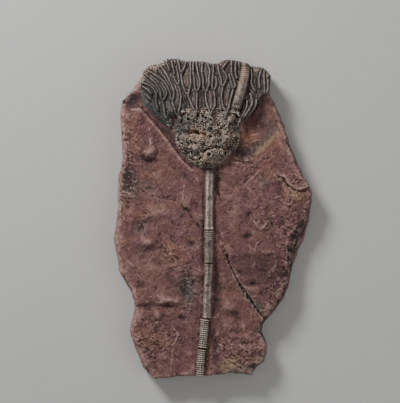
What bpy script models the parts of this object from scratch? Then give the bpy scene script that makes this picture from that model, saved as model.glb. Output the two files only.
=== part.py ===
"""A fossil sea lily lying on its slab of siltstone.

The slab lies on its sawn back with the fossil up: the crown towards +Y, the stem down its
middle towards -Y. The origin is at the middle of the slab's underside. Plans and heights
are given in millimetres of the real thing and are turned to metres when a mesh is made.
"""
import math
import random

import bmesh
import bpy
from mathutils import Vector, geometry, noise
from mathutils.bvhtree import BVHTree
from mathutils.kdtree import KDTree

MM = 0.001
GAP = 0.3                      # clearance kept between pieces that touch in the real stone

# ---- the slab -----------------------------------------------------------------------------
SLAB_THICKNESS = 30.0
SLAB_GRID = 8.6                # spacing of the points on its split face
EDGE_DROP = 1.6                # how far the broken edge falls below the face
EDGE_REACH = 3.0               # and over what width
SHOULDER_HEIGHT = 21.0         # a ragged ring round the wall below the top edge
WAIST_HEIGHT = 11.0            # where the slab is widest, above its back
BACK_INSET = 2.5               # how far the sawn back stands in from the widest outline

# Plan of the slab, clockwise from the crown's left corner: x, y, and how far the top edge
# stands in from the widest outline there. The right flank is broken at a slant.
SLAB_OUTLINE = [
    (-86, 188, 1.2), (-79, 193, 1.2), (-66, 195, 1.2), (-56, 200, 1.2), (-47, 202, 1.2),
    (-34, 198, 1.2), (-11, 198, 1.2), (-3, 195.5, 1.2), (5, 195.5, 1.2), (14, 200, 1.2),
    (23, 200, 1.2), (35, 198, 1.2), (48, 192, 1.2), (62, 190.5, 1.2), (69, 185.5, 1.2),
    (74, 179, 1.2), (72.5, 165, 1.2), (73, 154, 1.2), (78, 147, 2), (84, 133, 2), (90, 118, 3),
    (96, 100, 3), (100, 89, 4), (105, 77, 4), (112.5, 60, 3), (119, 49, 2), (126, 33, 2),
    (126, 22, 3), (123, -2, 8), (119, -14, 10), (115, -27, 16), (108, -44, 13), (101, -62, 6),
    (97.5, -82, 6), (89, -104, 6), (72.5, -125, 5), (64, -133, 3), (62.5, -145, 3),
    (69, -160, 2), (69, -169, 3), (65, -182, 3), (55, -189, 3), (49, -198, 2), (24, -195.5, 2),
    (-7, -198.5, 1.5), (-23, -199, 1.5), (-41, -199.5, 2), (-60, -202, 2), (-77, -202, 2),
    (-89, -188, 3), (-99, -163, 3), (-106, -142, 3), (-100, -117, 3), (-100, -109, 3),
    (-105, -89, 3), (-116, -73, 2), (-120, -65, 2), (-120, -54, 2), (-126, -24, 2),
    (-121, 4, 2), (-121, 25, 2), (-120, 54, 2), (-115, 68, 2), (-115, 86, 2),
    (-117.5, 117, 2), (-117.5, 133, 2), (-115, 148, 2), (-104, 160, 3), (-94, 174, 2),
]

# Low humps and hollows of the face: x, y, half lengths along and across, turn in degrees, rise.
SLAB_HUMPS = [
    (-79, 82, 9, 8, 0, 2.8), (-78, 100.5, 12, 4, -90, 1.2), (-105, 144.5, 11, 9, 60, -3.0),
    (-80, -29.5, 8, 7, 0, 2.6), (-92.5, -9.5, 14, 9, 10, -1.7), (-70, 5.5, 18, 10, 0, 1.2),
    (-32.5, 19.5, 6, 10, 0, 1.6), (-32.5, 10.5, 6, 3, -20, -1.8), (-26, -31, 8, 4, 0, -2.2),
    (-110, -67, 10, 6, 0, 1.6), (-60, -99.5, 16, 8, -8, 2.8), (-70, -120.5, 6, 6, 0, 1.8),
    (-89, -109.5, 8, 4, 0, -1.8), (-32.5, -92, 14, 22, 0, -1.5), (-37.5, -124.5, 6, 3, 0, -1.5),
    (45, 5, 9, 5, 0, -2.6), (44, -22.5, 9, 4, 0, -2.4), (61, -7, 11, 10, 0, 1.6),
    (24, 13, 12, 28, 0, 0.8), (5, -70.5, 6, 35, 0, -2.2), (6, 44.5, 6, 18, 0, -1.8),
    (56, -113, 6, 10, 0, -3.0), (69, -114.5, 5, 11, 0, 1.6), (24, -119.5, 10, 5, 0, -1.8),
    (29, -142, 9, 4, 0, -1.6), (44, -164.5, 15, 6, 0, 1.8), (47.5, -185.5, 15, 9, 0, -3.2),
    (-84, -192, 10, 6, -40, -2.5), (-99, -140.5, 6, 11, 0, -2.0),
    (-95, -169.5, 6, 15, -30, -1.4), (-114, 48, 9, 18, 0, -1.6), (89, 17, 10, 8, 0, 1.2),
    (50, -82, 9, 3, 0, -1.6), (37.5, -68, 8, 4, -20, -1.4), (61, -39.5, 18, 8, 0, 1.0),
    (40, 80.5, 15, 10, 0, -1.6), (61, 50.5, 8, 10, 0, -1.3), (-79, -67, 15, 9, 0, 0.9),
    (-66, -152, 25, 15, 0, 0.9), (90, -58, 10, 15, 0, -1.0),
]

# Cracks and preparation grooves: half width, depth, and the line they follow.
SLAB_GROOVES = [
    (2.6, 3.6, [(8, -17), (11, -33), (19, -54), (25, -74), (34, -87), (41, -97), (48, -105),
                (54, -114), (61, -124)]),
    (1.8, 1.6, [(-78, 29), (-70, 27), (-62, 24.5), (-54, 27), (-46, 22), (-40, 17), (-32, 10),
                (-22, -2), (-16, -11)]),
    (2.2, 2.0, [(-88, 133), (-79, 122), (-72, 113), (-65, 102), (-56, 90), (-47, 82), (-40, 73)]),
]

# The step under the flake at the right: its foot, and how high the flake stands over it.
FLAKE_FOOT = [(76, 56), (81, 54), (89, 51), (93, 44), (100, 38), (109, 35), (116, 38), (123, 42)]
FLAKE_RISE = 3.4
FLAKE_START = 12.0             # the step comes up over this length at its left end
FLAKE_FADE = 34.0              # and the flake dies out over this length behind it

# ---- the crown ----------------------------------------------------------------------------
CALYX_LINE = [(-48, 124), (-45, 128), (-37, 132), (-26, 133), (-16, 132.5), (-4, 131.5),
              (6, 133.5), (19, 132.5), (29, 131), (35, 123.5)]
MAT_RIM = [(35.6, 118.5), (41, 122), (47.5, 128), (53, 134.5), (57, 141), (60, 147), (64, 149.5),
           (71, 153.5), (70.8, 165), (72.2, 178.6), (68, 184.2), (61.5, 188.8), (47.6, 190.4),
           (34.6, 196.4), (23, 198.4), (14.4, 198.4), (5.3, 193.9), (-3.3, 193.9), (-11.4, 196.4),
           (-34.2, 196.4), (-46.9, 200.3), (-55.4, 198.5), (-65.6, 193.4), (-78.4, 191.4),
           (-84.7, 186.9), (-88.5, 179.5), (-90.5, 170), (-91, 160), (-89.5, 150), (-87, 140),
           (-79, 131.5), (-66, 119.5), (-56, 110.5), (-48.5, 113)]
MAT_GRID = 7.0
MAT_BASE_RISE = 12.0           # height of the bed over the slab where the arms leave the calyx
MAT_TIP_RISE = 6.5             # and where they end at the slab's edge
MAT_LENGTH = 62.0              # from the calyx to the arm tips
MAT_EDGE = 5.0                 # how far in from its rim the bed comes to full height
MAT_EDGE_SHARE = 0.55          # its height at the rim, as a share of full height
FOSSIL_FOOT = 22.0             # walls run down to here before the slab's shape is cut from them

CALYX_RIM = [(34, 117), (34, 100), (30, 89), (21, 79), (11, 69), (0, 62), (-9, 61), (-16, 62.5),
             (-29, 70), (-36, 79), (-46, 92), (-46.5, 110), (-47.5, 117)]
CALYX_GRID = 4.2
CALYX_RISE = 13.0              # height of the cup's dome over the slab
CALYX_EDGE = 18.0              # how far in from its rim the dome comes to full height
CALYX_EDGE_SHARE = 0.3         # its height at the rim, as a share of full height
# Plates and pits of the cup: x, y, radius, rise.
CALYX_PLATES = [
    (-38, 122, 5, 2.2), (-27, 124, 5, 2.4), (-15, 123, 5, 2.0), (-2, 124, 5, 2.6),
    (10, 125, 5, 2.2), (22, 123, 5, 2.4), (-33, 113, 5, 2.4), (-8, 113, 6, 2.8),
    (4, 111, 5, 2.2), (18, 111, 6, 2.6), (-40, 101, 5, 2.0), (-28, 98, 6, 2.6),
    (0, 99, 6, 2.8), (14, 96, 6, 2.6), (26, 102, 5, 2.0), (-22, 86, 6, 2.4), (-5, 80, 6, 3.0),
    (10, 82, 6, 2.4), (-12, 71, 5, 2.0), (0, 70, 5, 2.0), (-20, 107, 6, -3.4),
    (-13, 92, 4, -2.6), (-19, 128, 3, -2.6), (27, 93, 4, -2.0), (9, 104, 3.5, -2.4),
]

ARM_WIDTH = 2.5
ARM_HEIGHT = 2.1
ARM_STEP = 5.5                 # spacing of an arm's cross sections
ARM_TIP = 0.75                 # an arm's size at its tip, as a share of its size at the base

# The arms from left to right, each piece from its base to its tip.
ARMS = {
    "arm_01": [(-76.5, 154), (-79, 158), (-83, 161.5), (-88.5, 165)],
    "arm_02": [(-68, 134.5), (-70, 141), (-71, 147), (-70.5, 153), (-72, 158), (-75.5, 162.6),
               (-80, 166), (-88, 169)],
    "arm_03_stem": [(-60.5, 132.5), (-61, 138), (-62.5, 144), (-62.5, 147)],
    "arm_03_left": [(-64.5, 149.5), (-65, 153), (-66, 159), (-70, 166), (-76, 173), (-85, 180)],
    "arm_03_right": [(-60, 150), (-58, 154.5), (-57.8, 158), (-60.5, 163), (-65, 169.5)],
    "arm_04_stem": [(-45.8, 130.8), (-48, 136.5), (-50, 142), (-51, 146.5)],
    "arm_04_left": [(-52.8, 149.5), (-53.2, 155), (-56, 162), (-60.5, 169.5), (-70, 177.5),
                    (-81.5, 184)],
    "arm_04_right": [(-49.2, 150), (-48.5, 157), (-51, 164), (-54, 171.5), (-59, 181),
                     (-66.4, 191.5)],
    "arm_05_stem": [(-42.5, 134.5), (-41, 139), (-40.5, 146), (-39.7, 152), (-41, 158.5),
                    (-43.5, 166)],
    "arm_05_left": [(-45.7, 169), (-47.5, 173), (-49, 177)],
    "arm_05_right": [(-42.5, 170), (-43, 175.5), (-44, 181.5), (-46, 190)],
    "arm_06_stem": [(-24, 136), (-26.5, 141), (-29.5, 149), (-31.5, 154)],
    "arm_06_left": [(-34.2, 157), (-36.5, 163), (-38.5, 169), (-39.5, 176), (-39.5, 181)],
    "arm_06_left_tip_a": [(-41.3, 184.5), (-42, 190), (-44.6, 198.4)],
    "arm_06_left_tip_b": [(-37.8, 184.5), (-35.5, 189), (-34, 195)],
    "arm_06_right": [(-30, 157.5), (-29.3, 162), (-27.8, 168), (-28.3, 177), (-28, 185),
                     (-28.7, 195)],
    "arm_07_stem": [(-20, 135), (-20.4, 141), (-20, 150), (-20.2, 157.5)],
    "arm_07_left": [(-22.3, 160.8), (-23, 166), (-23.4, 174), (-24.7, 182), (-25, 195)],
    "arm_07_right": [(-18.2, 160.8), (-16.4, 167), (-16.8, 173), (-19, 182), (-21, 195)],
    "arm_08_stem": [(-4.8, 134.5), (-7, 140), (-9, 148), (-9.2, 157.5)],
    "arm_08_left": [(-11, 160.5), (-12.4, 166), (-12.2, 173), (-14, 184), (-13, 195)],
    "arm_08_right": [(-7.2, 160.5), (-5, 168), (-5, 175), (-4.1, 184), (-7, 193)],
    "arm_09_stem": [(-0.4, 135), (2, 140), (2.2, 149), (0.8, 159.5)],
    "arm_09_left": [(-1.1, 163), (-0.8, 170), (-0.2, 178), (0.3, 184), (0, 192.5)],
    "arm_09_right": [(3, 162.5), (4.2, 168), (4, 173), (2.9, 177)],
    "arm_10_stem": [(14, 136), (11.6, 142), (10.5, 152), (11.5, 160), (12, 164)],
    "arm_10_left": [(10.6, 167.5), (10, 174), (7.6, 181), (5.8, 190.5)],
    "arm_10_right": [(14, 167.5), (16.6, 173), (16.6, 178), (13, 183), (11.2, 186.4),
                     (14, 190.5), (19, 196.5)],
    "arm_11_stem": [(18.3, 135.5), (20, 140), (21.5, 148), (23.5, 155), (25, 161.5)],
    "arm_11_left": [(23.8, 165), (21.5, 172.5), (19.5, 180)],
    "arm_11_right": [(27.6, 165), (26, 172), (23, 182), (23, 196.6)],
    "arm_12": [(29.7, 174), (27.8, 183), (28.3, 195.6)],
    "arm_13": [(52.5, 158), (49, 164.5), (47.3, 170), (48.2, 177), (47, 188.5)],
    "arm_14": [(58, 161.5), (57, 170), (57.5, 177), (60.6, 187.3)],
    "arm_15": [(64, 154.5), (64, 163), (63.5, 172), (63.6, 184.5)],
    "arm_16": [(66.8, 156.5), (68.2, 163), (68, 174)],
    "arm_17": [(46, 131), (50, 136), (53.2, 142), (53.6, 148.5)],
    "arm_18": [(38, 125.2), (43, 133), (47.5, 140.5), (48.6, 146), (47.2, 152), (45.6, 156)],
    "arm_19": [(38.5, 131.5), (41.5, 138), (42.5, 147)],
    "arm_20": [(-48.6, 179), (-48.8, 184), (-50.2, 189), (-52, 197)],
    "arm_21": [(-54, 184), (-55.5, 188.5), (-58.6, 195)],
}

# ---- the stems ----------------------------------------------------------------------------
STEM_SINK = 2.0                # how far a stem's middle lies above the slab's face
STEM_SIDES = 3                 # bevel resolution: ten sides
RIB_PITCH = 4.0                # the coarse joints that show at a step away
RIB_DEPTH = 0.07               # as a share of the radius
PLAIN_STEP = 8.0               # spacing of the cross sections where the joints don't show
# Each length from its upper break to its lower one: x, y, diameter.
STEMS = {
    "stem_1": ([(-4, 60.2, 10.6), (-4.4, 42, 11), (-4.5, 24, 11), (-4.9, 4, 10.8),
                (-4.8, -14, 11.8)], False),
    "stem_2": ([(-4.6, -14.7, 11.4), (-4.7, -28, 11.6), (-4.9, -42, 11.6), (-5, -55.8, 11.2)],
               False),
    "stem_3": ([(-5, -56.6, 11.2), (-5.6, -76, 10.6), (-6.5, -94, 10.8), (-7.2, -110, 11.4),
                (-7.5, -124.6, 11.6)], False),
    "stem_4": ([(-9.7, -125.3, 11.8), (-10.8, -140, 12), (-12.8, -162, 11.8)], True),
    "stem_5": ([(-13.4, -162.7, 11.2), (-14.8, -178, 11.5), (-15.8, -196.3, 11.2)], True),
}
LOOSE_STEM = [(40.6, 191, 10), (39.8, 180, 11.4), (37.6, 168, 12), (34.8, 157, 12.2),
              (31.4, 147, 12), (28, 136.4, 10.4)]
LOOSE_STEM_LIFT = 1.6          # its middle lies this far above the bed of pinnules

STONES = {                     # base colour (linear) and roughness
    "red_siltstone": ((0.17, 0.075, 0.065), 0.9),
    "pinnule_infill": ((0.055, 0.042, 0.036), 0.85),
    "calyx_calcite": ((0.26, 0.215, 0.165), 0.8),
    "arm_calcite": ((0.34, 0.30, 0.25), 0.7),
    "stem_calcite": ((0.38, 0.32, 0.26), 0.75),
}


def stone(name):
    """The material of one kind of stone."""
    material = bpy.data.materials.new(name)
    material.use_nodes = True
    shader = material.node_tree.nodes["Principled BSDF"]
    colour, roughness = STONES[name]
    shader.inputs["Base Color"].default_value = (*colour, 1.0)
    shader.inputs["Roughness"].default_value = roughness
    material.diffuse_color = (*colour, 1.0)
    return material


def put(name, data, collection, material):
    """Makes an object of a mesh or curve, in its collection and of its stone."""
    item = bpy.data.objects.new(name, data)
    item.data.materials.append(material)
    collection.objects.link(item)
    return item


def nearest_on_line(x, y, line):
    """Distance in plan from a point to a chain of points."""
    best = math.inf
    for (ax, ay), (bx, by) in zip(line, line[1:]):
        length = (bx - ax) ** 2 + (by - ay) ** 2
        share = ((x - ax) * (bx - ax) + (y - ay) * (by - ay)) / length
        share = min(1.0, max(0.0, share))
        best = min(best, math.hypot(x - ax - share * (bx - ax), y - ay - share * (by - ay)))
    return best


def ramp(value):
    """Smooth step from 0 to 1."""
    value = min(1.0, max(0.0, value))
    return value * value * (3.0 - 2.0 * value)


def spread(line, step):
    """Points along a smooth curve through a chain of points, about a step apart."""
    ends = [line[0], *line, line[-1]]
    made = []
    for a, b, c, d in zip(ends, ends[1:], ends[2:], ends[3:]):
        length = math.dist(b[:2], c[:2])
        count = max(1, round(length / step))
        for k in range(count):
            t = k / count
            made.append([
                0.5 * (2 * q + (r - p) * t + (2 * p - 5 * q + 4 * r - s) * t ** 2
                       + (3 * q - p - 3 * r + s) * t ** 3)
                for p, q, r, s in zip(a, b, c, d)
            ])
    made.append(list(line[-1]))
    return made


def flake_rise(x, y):
    """How far the flake at the right stands over the face at this point."""
    if x < FLAKE_FOOT[0][0] - 2:
        return 0.0
    foot = FLAKE_FOOT[-1][1]
    for (ax, ay), (bx, by) in zip(FLAKE_FOOT, FLAKE_FOOT[1:]):
        if x <= bx:
            foot = ay + (by - ay) * max(0.0, x - ax) / (bx - ax)
            break
    north = y - foot
    start = ramp((x - FLAKE_FOOT[0][0]) / FLAKE_START)
    return FLAKE_RISE * start * ramp(north / 1.6 + 0.5) * math.exp(-max(0.0, north) / FLAKE_FADE)


def slab_height(x, y):
    """Height of the slab's face above its back."""
    z = SLAB_THICKNESS
    z += 2.6 * noise.noise(Vector((x / 70, y / 70, 1.7)))
    z += 1.3 * noise.noise(Vector((x / 24, y / 24, 5.2)))
    for cx, cy, along, across, turn, rise in SLAB_HUMPS:
        angle = math.radians(turn)
        u = ((x - cx) * math.cos(angle) + (y - cy) * math.sin(angle)) / along
        v = ((y - cy) * math.cos(angle) - (x - cx) * math.sin(angle)) / across
        z += rise * math.exp(-(u * u + v * v))
    for half_width, depth, line in SLAB_GROOVES:
        away = nearest_on_line(x, y, line)
        z -= depth * max(0.0, 1.0 - away / half_width)
    return z + flake_rise(x, y)


def mat_height(x, y):
    """Height of the pinnule bed's top: highest at the calyx, lower to the tips and the rim."""
    along = min(1.0, max(0.0, (y - CALYX_LINE[0][1]) / MAT_LENGTH))
    rise = MAT_BASE_RISE + (MAT_TIP_RISE - MAT_BASE_RISE) * along
    rim = nearest_on_line(x, y, [CALYX_LINE[-1], *MAT_RIM, CALYX_LINE[0]])
    rise *= MAT_EDGE_SHARE + (1.0 - MAT_EDGE_SHARE) * ramp(rim / MAT_EDGE)
    return SLAB_THICKNESS + rise + 0.8 * noise.noise(Vector((x / 26, y / 26, 9.4)))


def calyx_height(x, y):
    """Height of the cup: a low dome with raised plates and pits."""
    rim = nearest_on_line(x, y, [CALYX_LINE[-1], *CALYX_RIM, CALYX_LINE[0]])
    share = CALYX_EDGE_SHARE + (1.0 - CALYX_EDGE_SHARE) * ramp(rim / CALYX_EDGE)
    z = SLAB_THICKNESS + CALYX_RISE * share
    for cx, cy, radius, rise in CALYX_PLATES:
        z += rise * math.exp(-((x - cx) ** 2 + (y - cy) ** 2) / (0.6 * radius) ** 2)
    return z


def inset_outline(outline, insets):
    """The outline moved in by its insets, square to its own direction."""
    moved = []
    for k, point in enumerate(outline):
        before = Vector(outline[k - 1])
        after = Vector(outline[(k + 1) % len(outline)])
        along = (after - before).normalized()
        moved.append((point[0] + along.y * insets[k], point[1] - along.x * insets[k]))
    return moved


def face_points(outline, spacing, lines, seed):
    """Points inside an outline: along the given lines first, then a loose grid between them."""
    rng = random.Random(seed)
    kept = []
    for half_width, line in lines:
        route = spread(line, spacing)
        for k, (x, y) in enumerate(route):
            before = route[max(0, k - 1)]
            after = route[min(len(route) - 1, k + 1)]
            along = Vector((after[0] - before[0], after[1] - before[1])).normalized()
            for side in (-1, 0, 1):
                offset = side * half_width
                kept.append((x - along.y * offset, y + along.x * offset))
    lines_tree = KDTree(len(kept) + 1)
    for k, (x, y) in enumerate(kept):
        lines_tree.insert((x, y, 0), k)
    lines_tree.insert((1e4, 1e4, 0), len(kept))
    lines_tree.balance()
    closed = [*outline, outline[0]]
    plan = [Vector(p) for p in outline]
    low_x = min(p[0] for p in outline)
    low_y = min(p[1] for p in outline)
    columns = int((max(p[0] for p in outline) - low_x) / spacing) + 2
    rows = int((max(p[1] for p in outline) - low_y) / (0.87 * spacing)) + 2
    inside = [p for p in kept if within(p, plan) and nearest_on_line(*p, closed) > 1.5]
    for row in range(rows):
        for column in range(columns):
            x = low_x + spacing * (column + 0.5 * (row % 2) + rng.uniform(-0.18, 0.18))
            y = low_y + spacing * (0.87 * row + rng.uniform(-0.18, 0.18))
            if not within((x, y), plan) or nearest_on_line(x, y, closed) < 0.45 * spacing:
                continue
            if lines_tree.find((x, y, 0))[2] > 0.55 * spacing:
                inside.append((x, y))
    return inside


def within(point, plan):
    """Whether a point lies inside a closed plan outline."""
    x, y = point
    odd = False
    for a, b in zip(plan, [*plan[1:], plan[0]]):
        if (a[1] > y) != (b[1] > y) and x < a[0] + (b[0] - a[0]) * (y - a[1]) / (b[1] - a[1]):
            odd = not odd
    return odd


def relief(outline, points, height, rings):
    """A block with a modelled top: the outline's face with its points lifted to the height,
    walls down through the rings (plan, height), and a flat back on the last ring."""
    flat = [Vector(p) for p in [*outline, *points]]
    rim = list(range(len(outline)))
    edges = list(zip(rim, [*rim[1:], 0]))
    spots, _, triangles, *_ = geometry.delaunay_2d_cdt(flat, edges, [rim], 1, 1e-4)
    mesh = bmesh.new()
    for spot in spots:
        mesh.verts.new((spot.x * MM, spot.y * MM, height(spot.x, spot.y) * MM))
    mesh.verts.ensure_lookup_table()
    for triangle in triangles:
        mesh.faces.new([mesh.verts[k] for k in triangle])
    loop = [mesh.verts[k] for k in rim]
    for plan, level in rings:
        lower = []
        for x, y in plan:
            lower.append(mesh.verts.new((x * MM, y * MM, level * MM)))
        for k in rim:
            j = (k + 1) % len(rim)
            mesh.faces.new((loop[k], loop[j], lower[j], lower[k]))
        loop = lower
    mesh.faces.new(loop)
    bmesh.ops.recalc_face_normals(mesh, faces=mesh.faces)
    made = bpy.data.meshes.new("relief")
    mesh.to_mesh(made)
    mesh.free()
    return made


def make_slab(collection):
    """The slab: a relief face, a ragged broken wall and a sawn back."""
    rng = random.Random(3)
    plan = [(x, y) for x, y, _ in SLAB_OUTLINE]
    insets = [inset for *_, inset in SLAB_OUTLINE]
    top = inset_outline(plan, insets)
    lines = [(half_width, line) for half_width, _, line in SLAB_GROOVES]
    lines.append((0.9, FLAKE_FOOT))
    points = face_points(top, SLAB_GRID, lines, 11)
    closed = [*top, top[0]]

    def face_height(x, y):
        edge = nearest_on_line(x, y, closed)
        return slab_height(x, y) - EDGE_DROP * max(0.0, 1.0 - edge / EDGE_REACH)

    shoulder = inset_outline(plan, [inset * rng.uniform(0.3, 0.7) for inset in insets])
    back = inset_outline(plan, [BACK_INSET] * len(plan))
    rings = [(shoulder, SHOULDER_HEIGHT), (plan, WAIST_HEIGHT), (back, 0.0)]
    mesh = relief(top, points, face_height, rings)
    return put("matrix_slab", mesh, collection, stone("red_siltstone"))


def raised_copy(item, cutters):
    """A copy of a piece lifted by the gap, to cut what lies on it."""
    cutter = bpy.data.objects.new(item.name + "_raised", item.data.copy())
    cutter.location.z = GAP * MM
    cutter.hide_render = True
    cutter.display_type = "WIRE"
    cutters.objects.link(cutter)
    return cutter


def cut_away(item, cutter):
    """Cuts a piece's underside to the shape of what it lies on."""
    cut = item.modifiers.new("bed", "BOOLEAN")
    cut.operation = "DIFFERENCE"
    cut.solver = "EXACT"
    cut.object = cutter


def make_mat(collection, slab_cutter):
    """The pressed bed of pinnules and infill that carries the arms."""
    outline = [*reversed(CALYX_LINE), *reversed(MAT_RIM)]
    points = face_points(outline, MAT_GRID, [], 5)
    mesh = relief(outline, points, mat_height, [(outline, FOSSIL_FOOT)])
    mat = put("pinnule_mat", mesh, collection, stone("pinnule_infill"))
    cut_away(mat, slab_cutter)
    return mat


def make_calyx(collection, slab_cutter):
    """The cup of cemented plates between the arms and the stem."""
    upper = [(x, y - 2 * GAP) for x, y in CALYX_LINE]
    outline = [*upper, *CALYX_RIM]
    points = face_points(outline, CALYX_GRID, [], 8)
    mesh = relief(outline, points, calyx_height, [(outline, FOSSIL_FOOT)])
    calyx = put("calyx", mesh, collection, stone("calyx_calcite"))
    cut_away(calyx, slab_cutter)
    return calyx


def arm_section(cutters):
    """The half-round cross section that every arm is swept from, flat side down."""
    half = ARM_WIDTH / 2
    corners = [(half, 0), (-half, 0), (-0.78 * half, 0.62 * ARM_HEIGHT), (0, ARM_HEIGHT),
               (0.78 * half, 0.62 * ARM_HEIGHT)]
    curve = bpy.data.curves.new("arm_section", "CURVE")
    curve.dimensions = "2D"
    spline = curve.splines.new("POLY")
    spline.points.add(len(corners) - 1)
    for point, (x, y) in zip(spline.points, corners):
        point.co = (x * MM, y * MM, 0, 1)
    spline.use_cyclic_u = True
    section = bpy.data.objects.new("arm_section", curve)
    section.hide_render = True
    cutters.objects.link(section)
    return section


def swept(name, route, radii):
    """A curve through a route of points in metres, with its size at each."""
    curve = bpy.data.curves.new(name, "CURVE")
    curve.dimensions = "3D"
    curve.twist_mode = "Z_UP"
    curve.use_fill_caps = True
    spline = curve.splines.new("POLY")
    spline.points.add(len(route) - 1)
    for point, place, radius in zip(spline.points, route, radii):
        point.co = (*place, 1)
        point.radius = radius
    return curve


def top_of(tree, x, y):
    """Height of a mesh's top under a point of the plan, both in millimetres."""
    hit = tree.ray_cast(Vector((x * MM, y * MM, 1.0)), Vector((0, 0, -1)))[0]
    return hit.z / MM if hit else 0.0


def highest_near(tree, x, y, reach):
    """The highest that a mesh stands within a small square of the plan."""
    shares = (-1, -0.5, 0, 0.5, 1)
    return max(top_of(tree, x + reach * u, y + reach * v) for u in shares for v in shares)


def make_arms(collection, mat, cutters):
    """Every arm and every branch beyond a fork, laid on the bed of pinnules."""
    graph = bpy.context.evaluated_depsgraph_get()
    tree = BVHTree.FromObject(mat, graph)
    section = arm_section(cutters)
    calcite = stone("arm_calcite")
    for name, line in ARMS.items():
        route = spread(line, ARM_STEP)
        radii = [1.0 + (ARM_TIP - 1.0) * k / (len(route) - 1) for k in range(len(route))]
        places = []
        for x, y in route:
            level = highest_near(tree, x, y, ARM_STEP / 2) + GAP
            places.append((x * MM, y * MM, level * MM))
        curve = swept(name, places, radii)
        curve.bevel_mode = "OBJECT"
        curve.bevel_object = section
        put(name, curve, collection, calcite)


def as_mesh(item, collection):
    """Turns a swept curve into a closed mesh, so that a Boolean can cut it."""
    graph = bpy.context.evaluated_depsgraph_get()
    mesh = bpy.data.meshes.new_from_object(item.evaluated_get(graph))
    welded = bmesh.new()
    welded.from_mesh(mesh)
    bmesh.ops.remove_doubles(welded, verts=welded.verts, dist=0.00001)
    welded.to_mesh(mesh)
    welded.free()
    name = item.name
    place = item.matrix_world.copy()
    bpy.data.objects.remove(item)
    solid = bpy.data.objects.new(name, mesh)
    solid.matrix_world = place
    collection.objects.link(solid)
    return solid


def column(name, line, ribbed, height, collection, material):
    """A length of stem along its line, with its joints as ribs, closed at both breaks."""
    step = RIB_PITCH / 2 if ribbed else PLAIN_STEP
    route = spread(line, step)
    places = []
    radii = []
    for k, (x, y, diameter) in enumerate(route):
        rib = 1.0 - RIB_DEPTH * (k % 2)
        places.append((x * MM, y * MM, height(x, y) * MM))
        radii.append(diameter / 2 * rib)
    curve = swept(name, places, radii)
    curve.bevel_depth = MM
    curve.bevel_resolution = STEM_SIDES
    return as_mesh(put(name, curve, collection, material), collection)


def make_stems(collection, slab_cutter, mat, mat_cutter):
    """The broken column, half sunk in the slab, and the stray length over the crown."""
    calcite = stone("stem_calcite")

    def lying(x, y):
        return SLAB_THICKNESS + STEM_SINK

    for name, (line, ribbed) in STEMS.items():
        cut_away(column(name, line, ribbed, lying, collection, calcite), slab_cutter)

    tree = BVHTree.FromObject(mat, bpy.context.evaluated_depsgraph_get())

    def over_the_crown(x, y):
        return top_of(tree, x, y) + LOOSE_STEM_LIFT

    loose = column("loose_stem_piece", LOOSE_STEM, True, over_the_crown, collection, calcite)
    cut_away(loose, mat_cutter)


def settled_copy(item, cutters):
    """A raised cutter with the shape that a piece has once its own cuts are made."""
    graph = bpy.context.evaluated_depsgraph_get()
    mesh = bpy.data.meshes.new_from_object(item.evaluated_get(graph))
    holder = bpy.data.objects.new(item.name, mesh)
    cutter = raised_copy(holder, cutters)
    bpy.data.objects.remove(holder)
    return cutter


def build():
    """Clears the file and models the fossil."""
    for item in list(bpy.data.objects):
        bpy.data.objects.remove(item)
    pieces = bpy.data.collections.new("crinoid_fossil")
    cutters = bpy.data.collections.new("cutters")
    for collection in (pieces, cutters):
        bpy.context.scene.collection.children.link(collection)
    slab = make_slab(pieces)
    slab_cutter = raised_copy(slab, cutters)
    mat = make_mat(pieces, slab_cutter)
    make_calyx(pieces, slab_cutter)
    bpy.context.view_layer.update()
    make_arms(pieces, mat, cutters)
    mat_cutter = settled_copy(mat, cutters)
    make_stems(pieces, slab_cutter, mat, mat_cutter)


build()
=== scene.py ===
"""The looks of a fossil sea lily on its slab of red siltstone, dressed piece by piece over
its CAD frame. Plans and heights are in millimetres; a mesh is turned to metres as it is made."""
import math
import random

import bpy
import numpy as np
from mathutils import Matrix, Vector, geometry, kdtree, noise


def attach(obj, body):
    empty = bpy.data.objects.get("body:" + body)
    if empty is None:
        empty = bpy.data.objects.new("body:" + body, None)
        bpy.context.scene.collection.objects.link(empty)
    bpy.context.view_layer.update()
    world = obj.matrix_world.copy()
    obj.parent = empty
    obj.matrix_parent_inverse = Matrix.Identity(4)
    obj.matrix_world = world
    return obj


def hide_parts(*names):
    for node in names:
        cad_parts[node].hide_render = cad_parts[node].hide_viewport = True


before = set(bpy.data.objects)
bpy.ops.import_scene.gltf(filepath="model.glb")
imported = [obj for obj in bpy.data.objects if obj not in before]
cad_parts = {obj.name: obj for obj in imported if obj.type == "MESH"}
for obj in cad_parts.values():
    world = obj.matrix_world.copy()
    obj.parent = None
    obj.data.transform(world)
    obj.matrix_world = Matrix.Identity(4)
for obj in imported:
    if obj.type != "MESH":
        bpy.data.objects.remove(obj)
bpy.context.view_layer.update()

# ==== The matrix slab ========================================================================
# A slab split from a bed of red-brown marly siltstone. Its face was cleaned with small steel
# points and brushes, its sides are raw breaks, and its back is sawn flat.

MM = 0.001
SLAB_THICKNESS = 30.0
SLAB_GRID = 1.2             # spacing of the points on its face
WALL_STEP = 1.8             # and of those round its edge and down its walls
SHOULDER_HEIGHT = 21.0      # where the wall has come half way out
WAIST_HEIGHT = 11.0         # where the slab is widest
BACK_INSET = 2.5            # how far the sawn back stands in from there
EDGE_CHIP = 2.2             # how far the chips of the top edge reach in at most
EDGE_DROP = 1.8             # how far the face drops at the very edge
EDGE_WEAR = 1.2             # and how much more where the edge is worn
WALL_COLOUR_TOP = 29.3      # below this height the walls' colours, with their painted light and shade, come in
RIGHT_WALL_FROM = 30.0      # x where the right wall's grey and painted shade start
LEFT_WALL_FROM = -50.0      # and the left wall's painted light
WALL_SPREAD = 30.0          # over what width they come in

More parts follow.
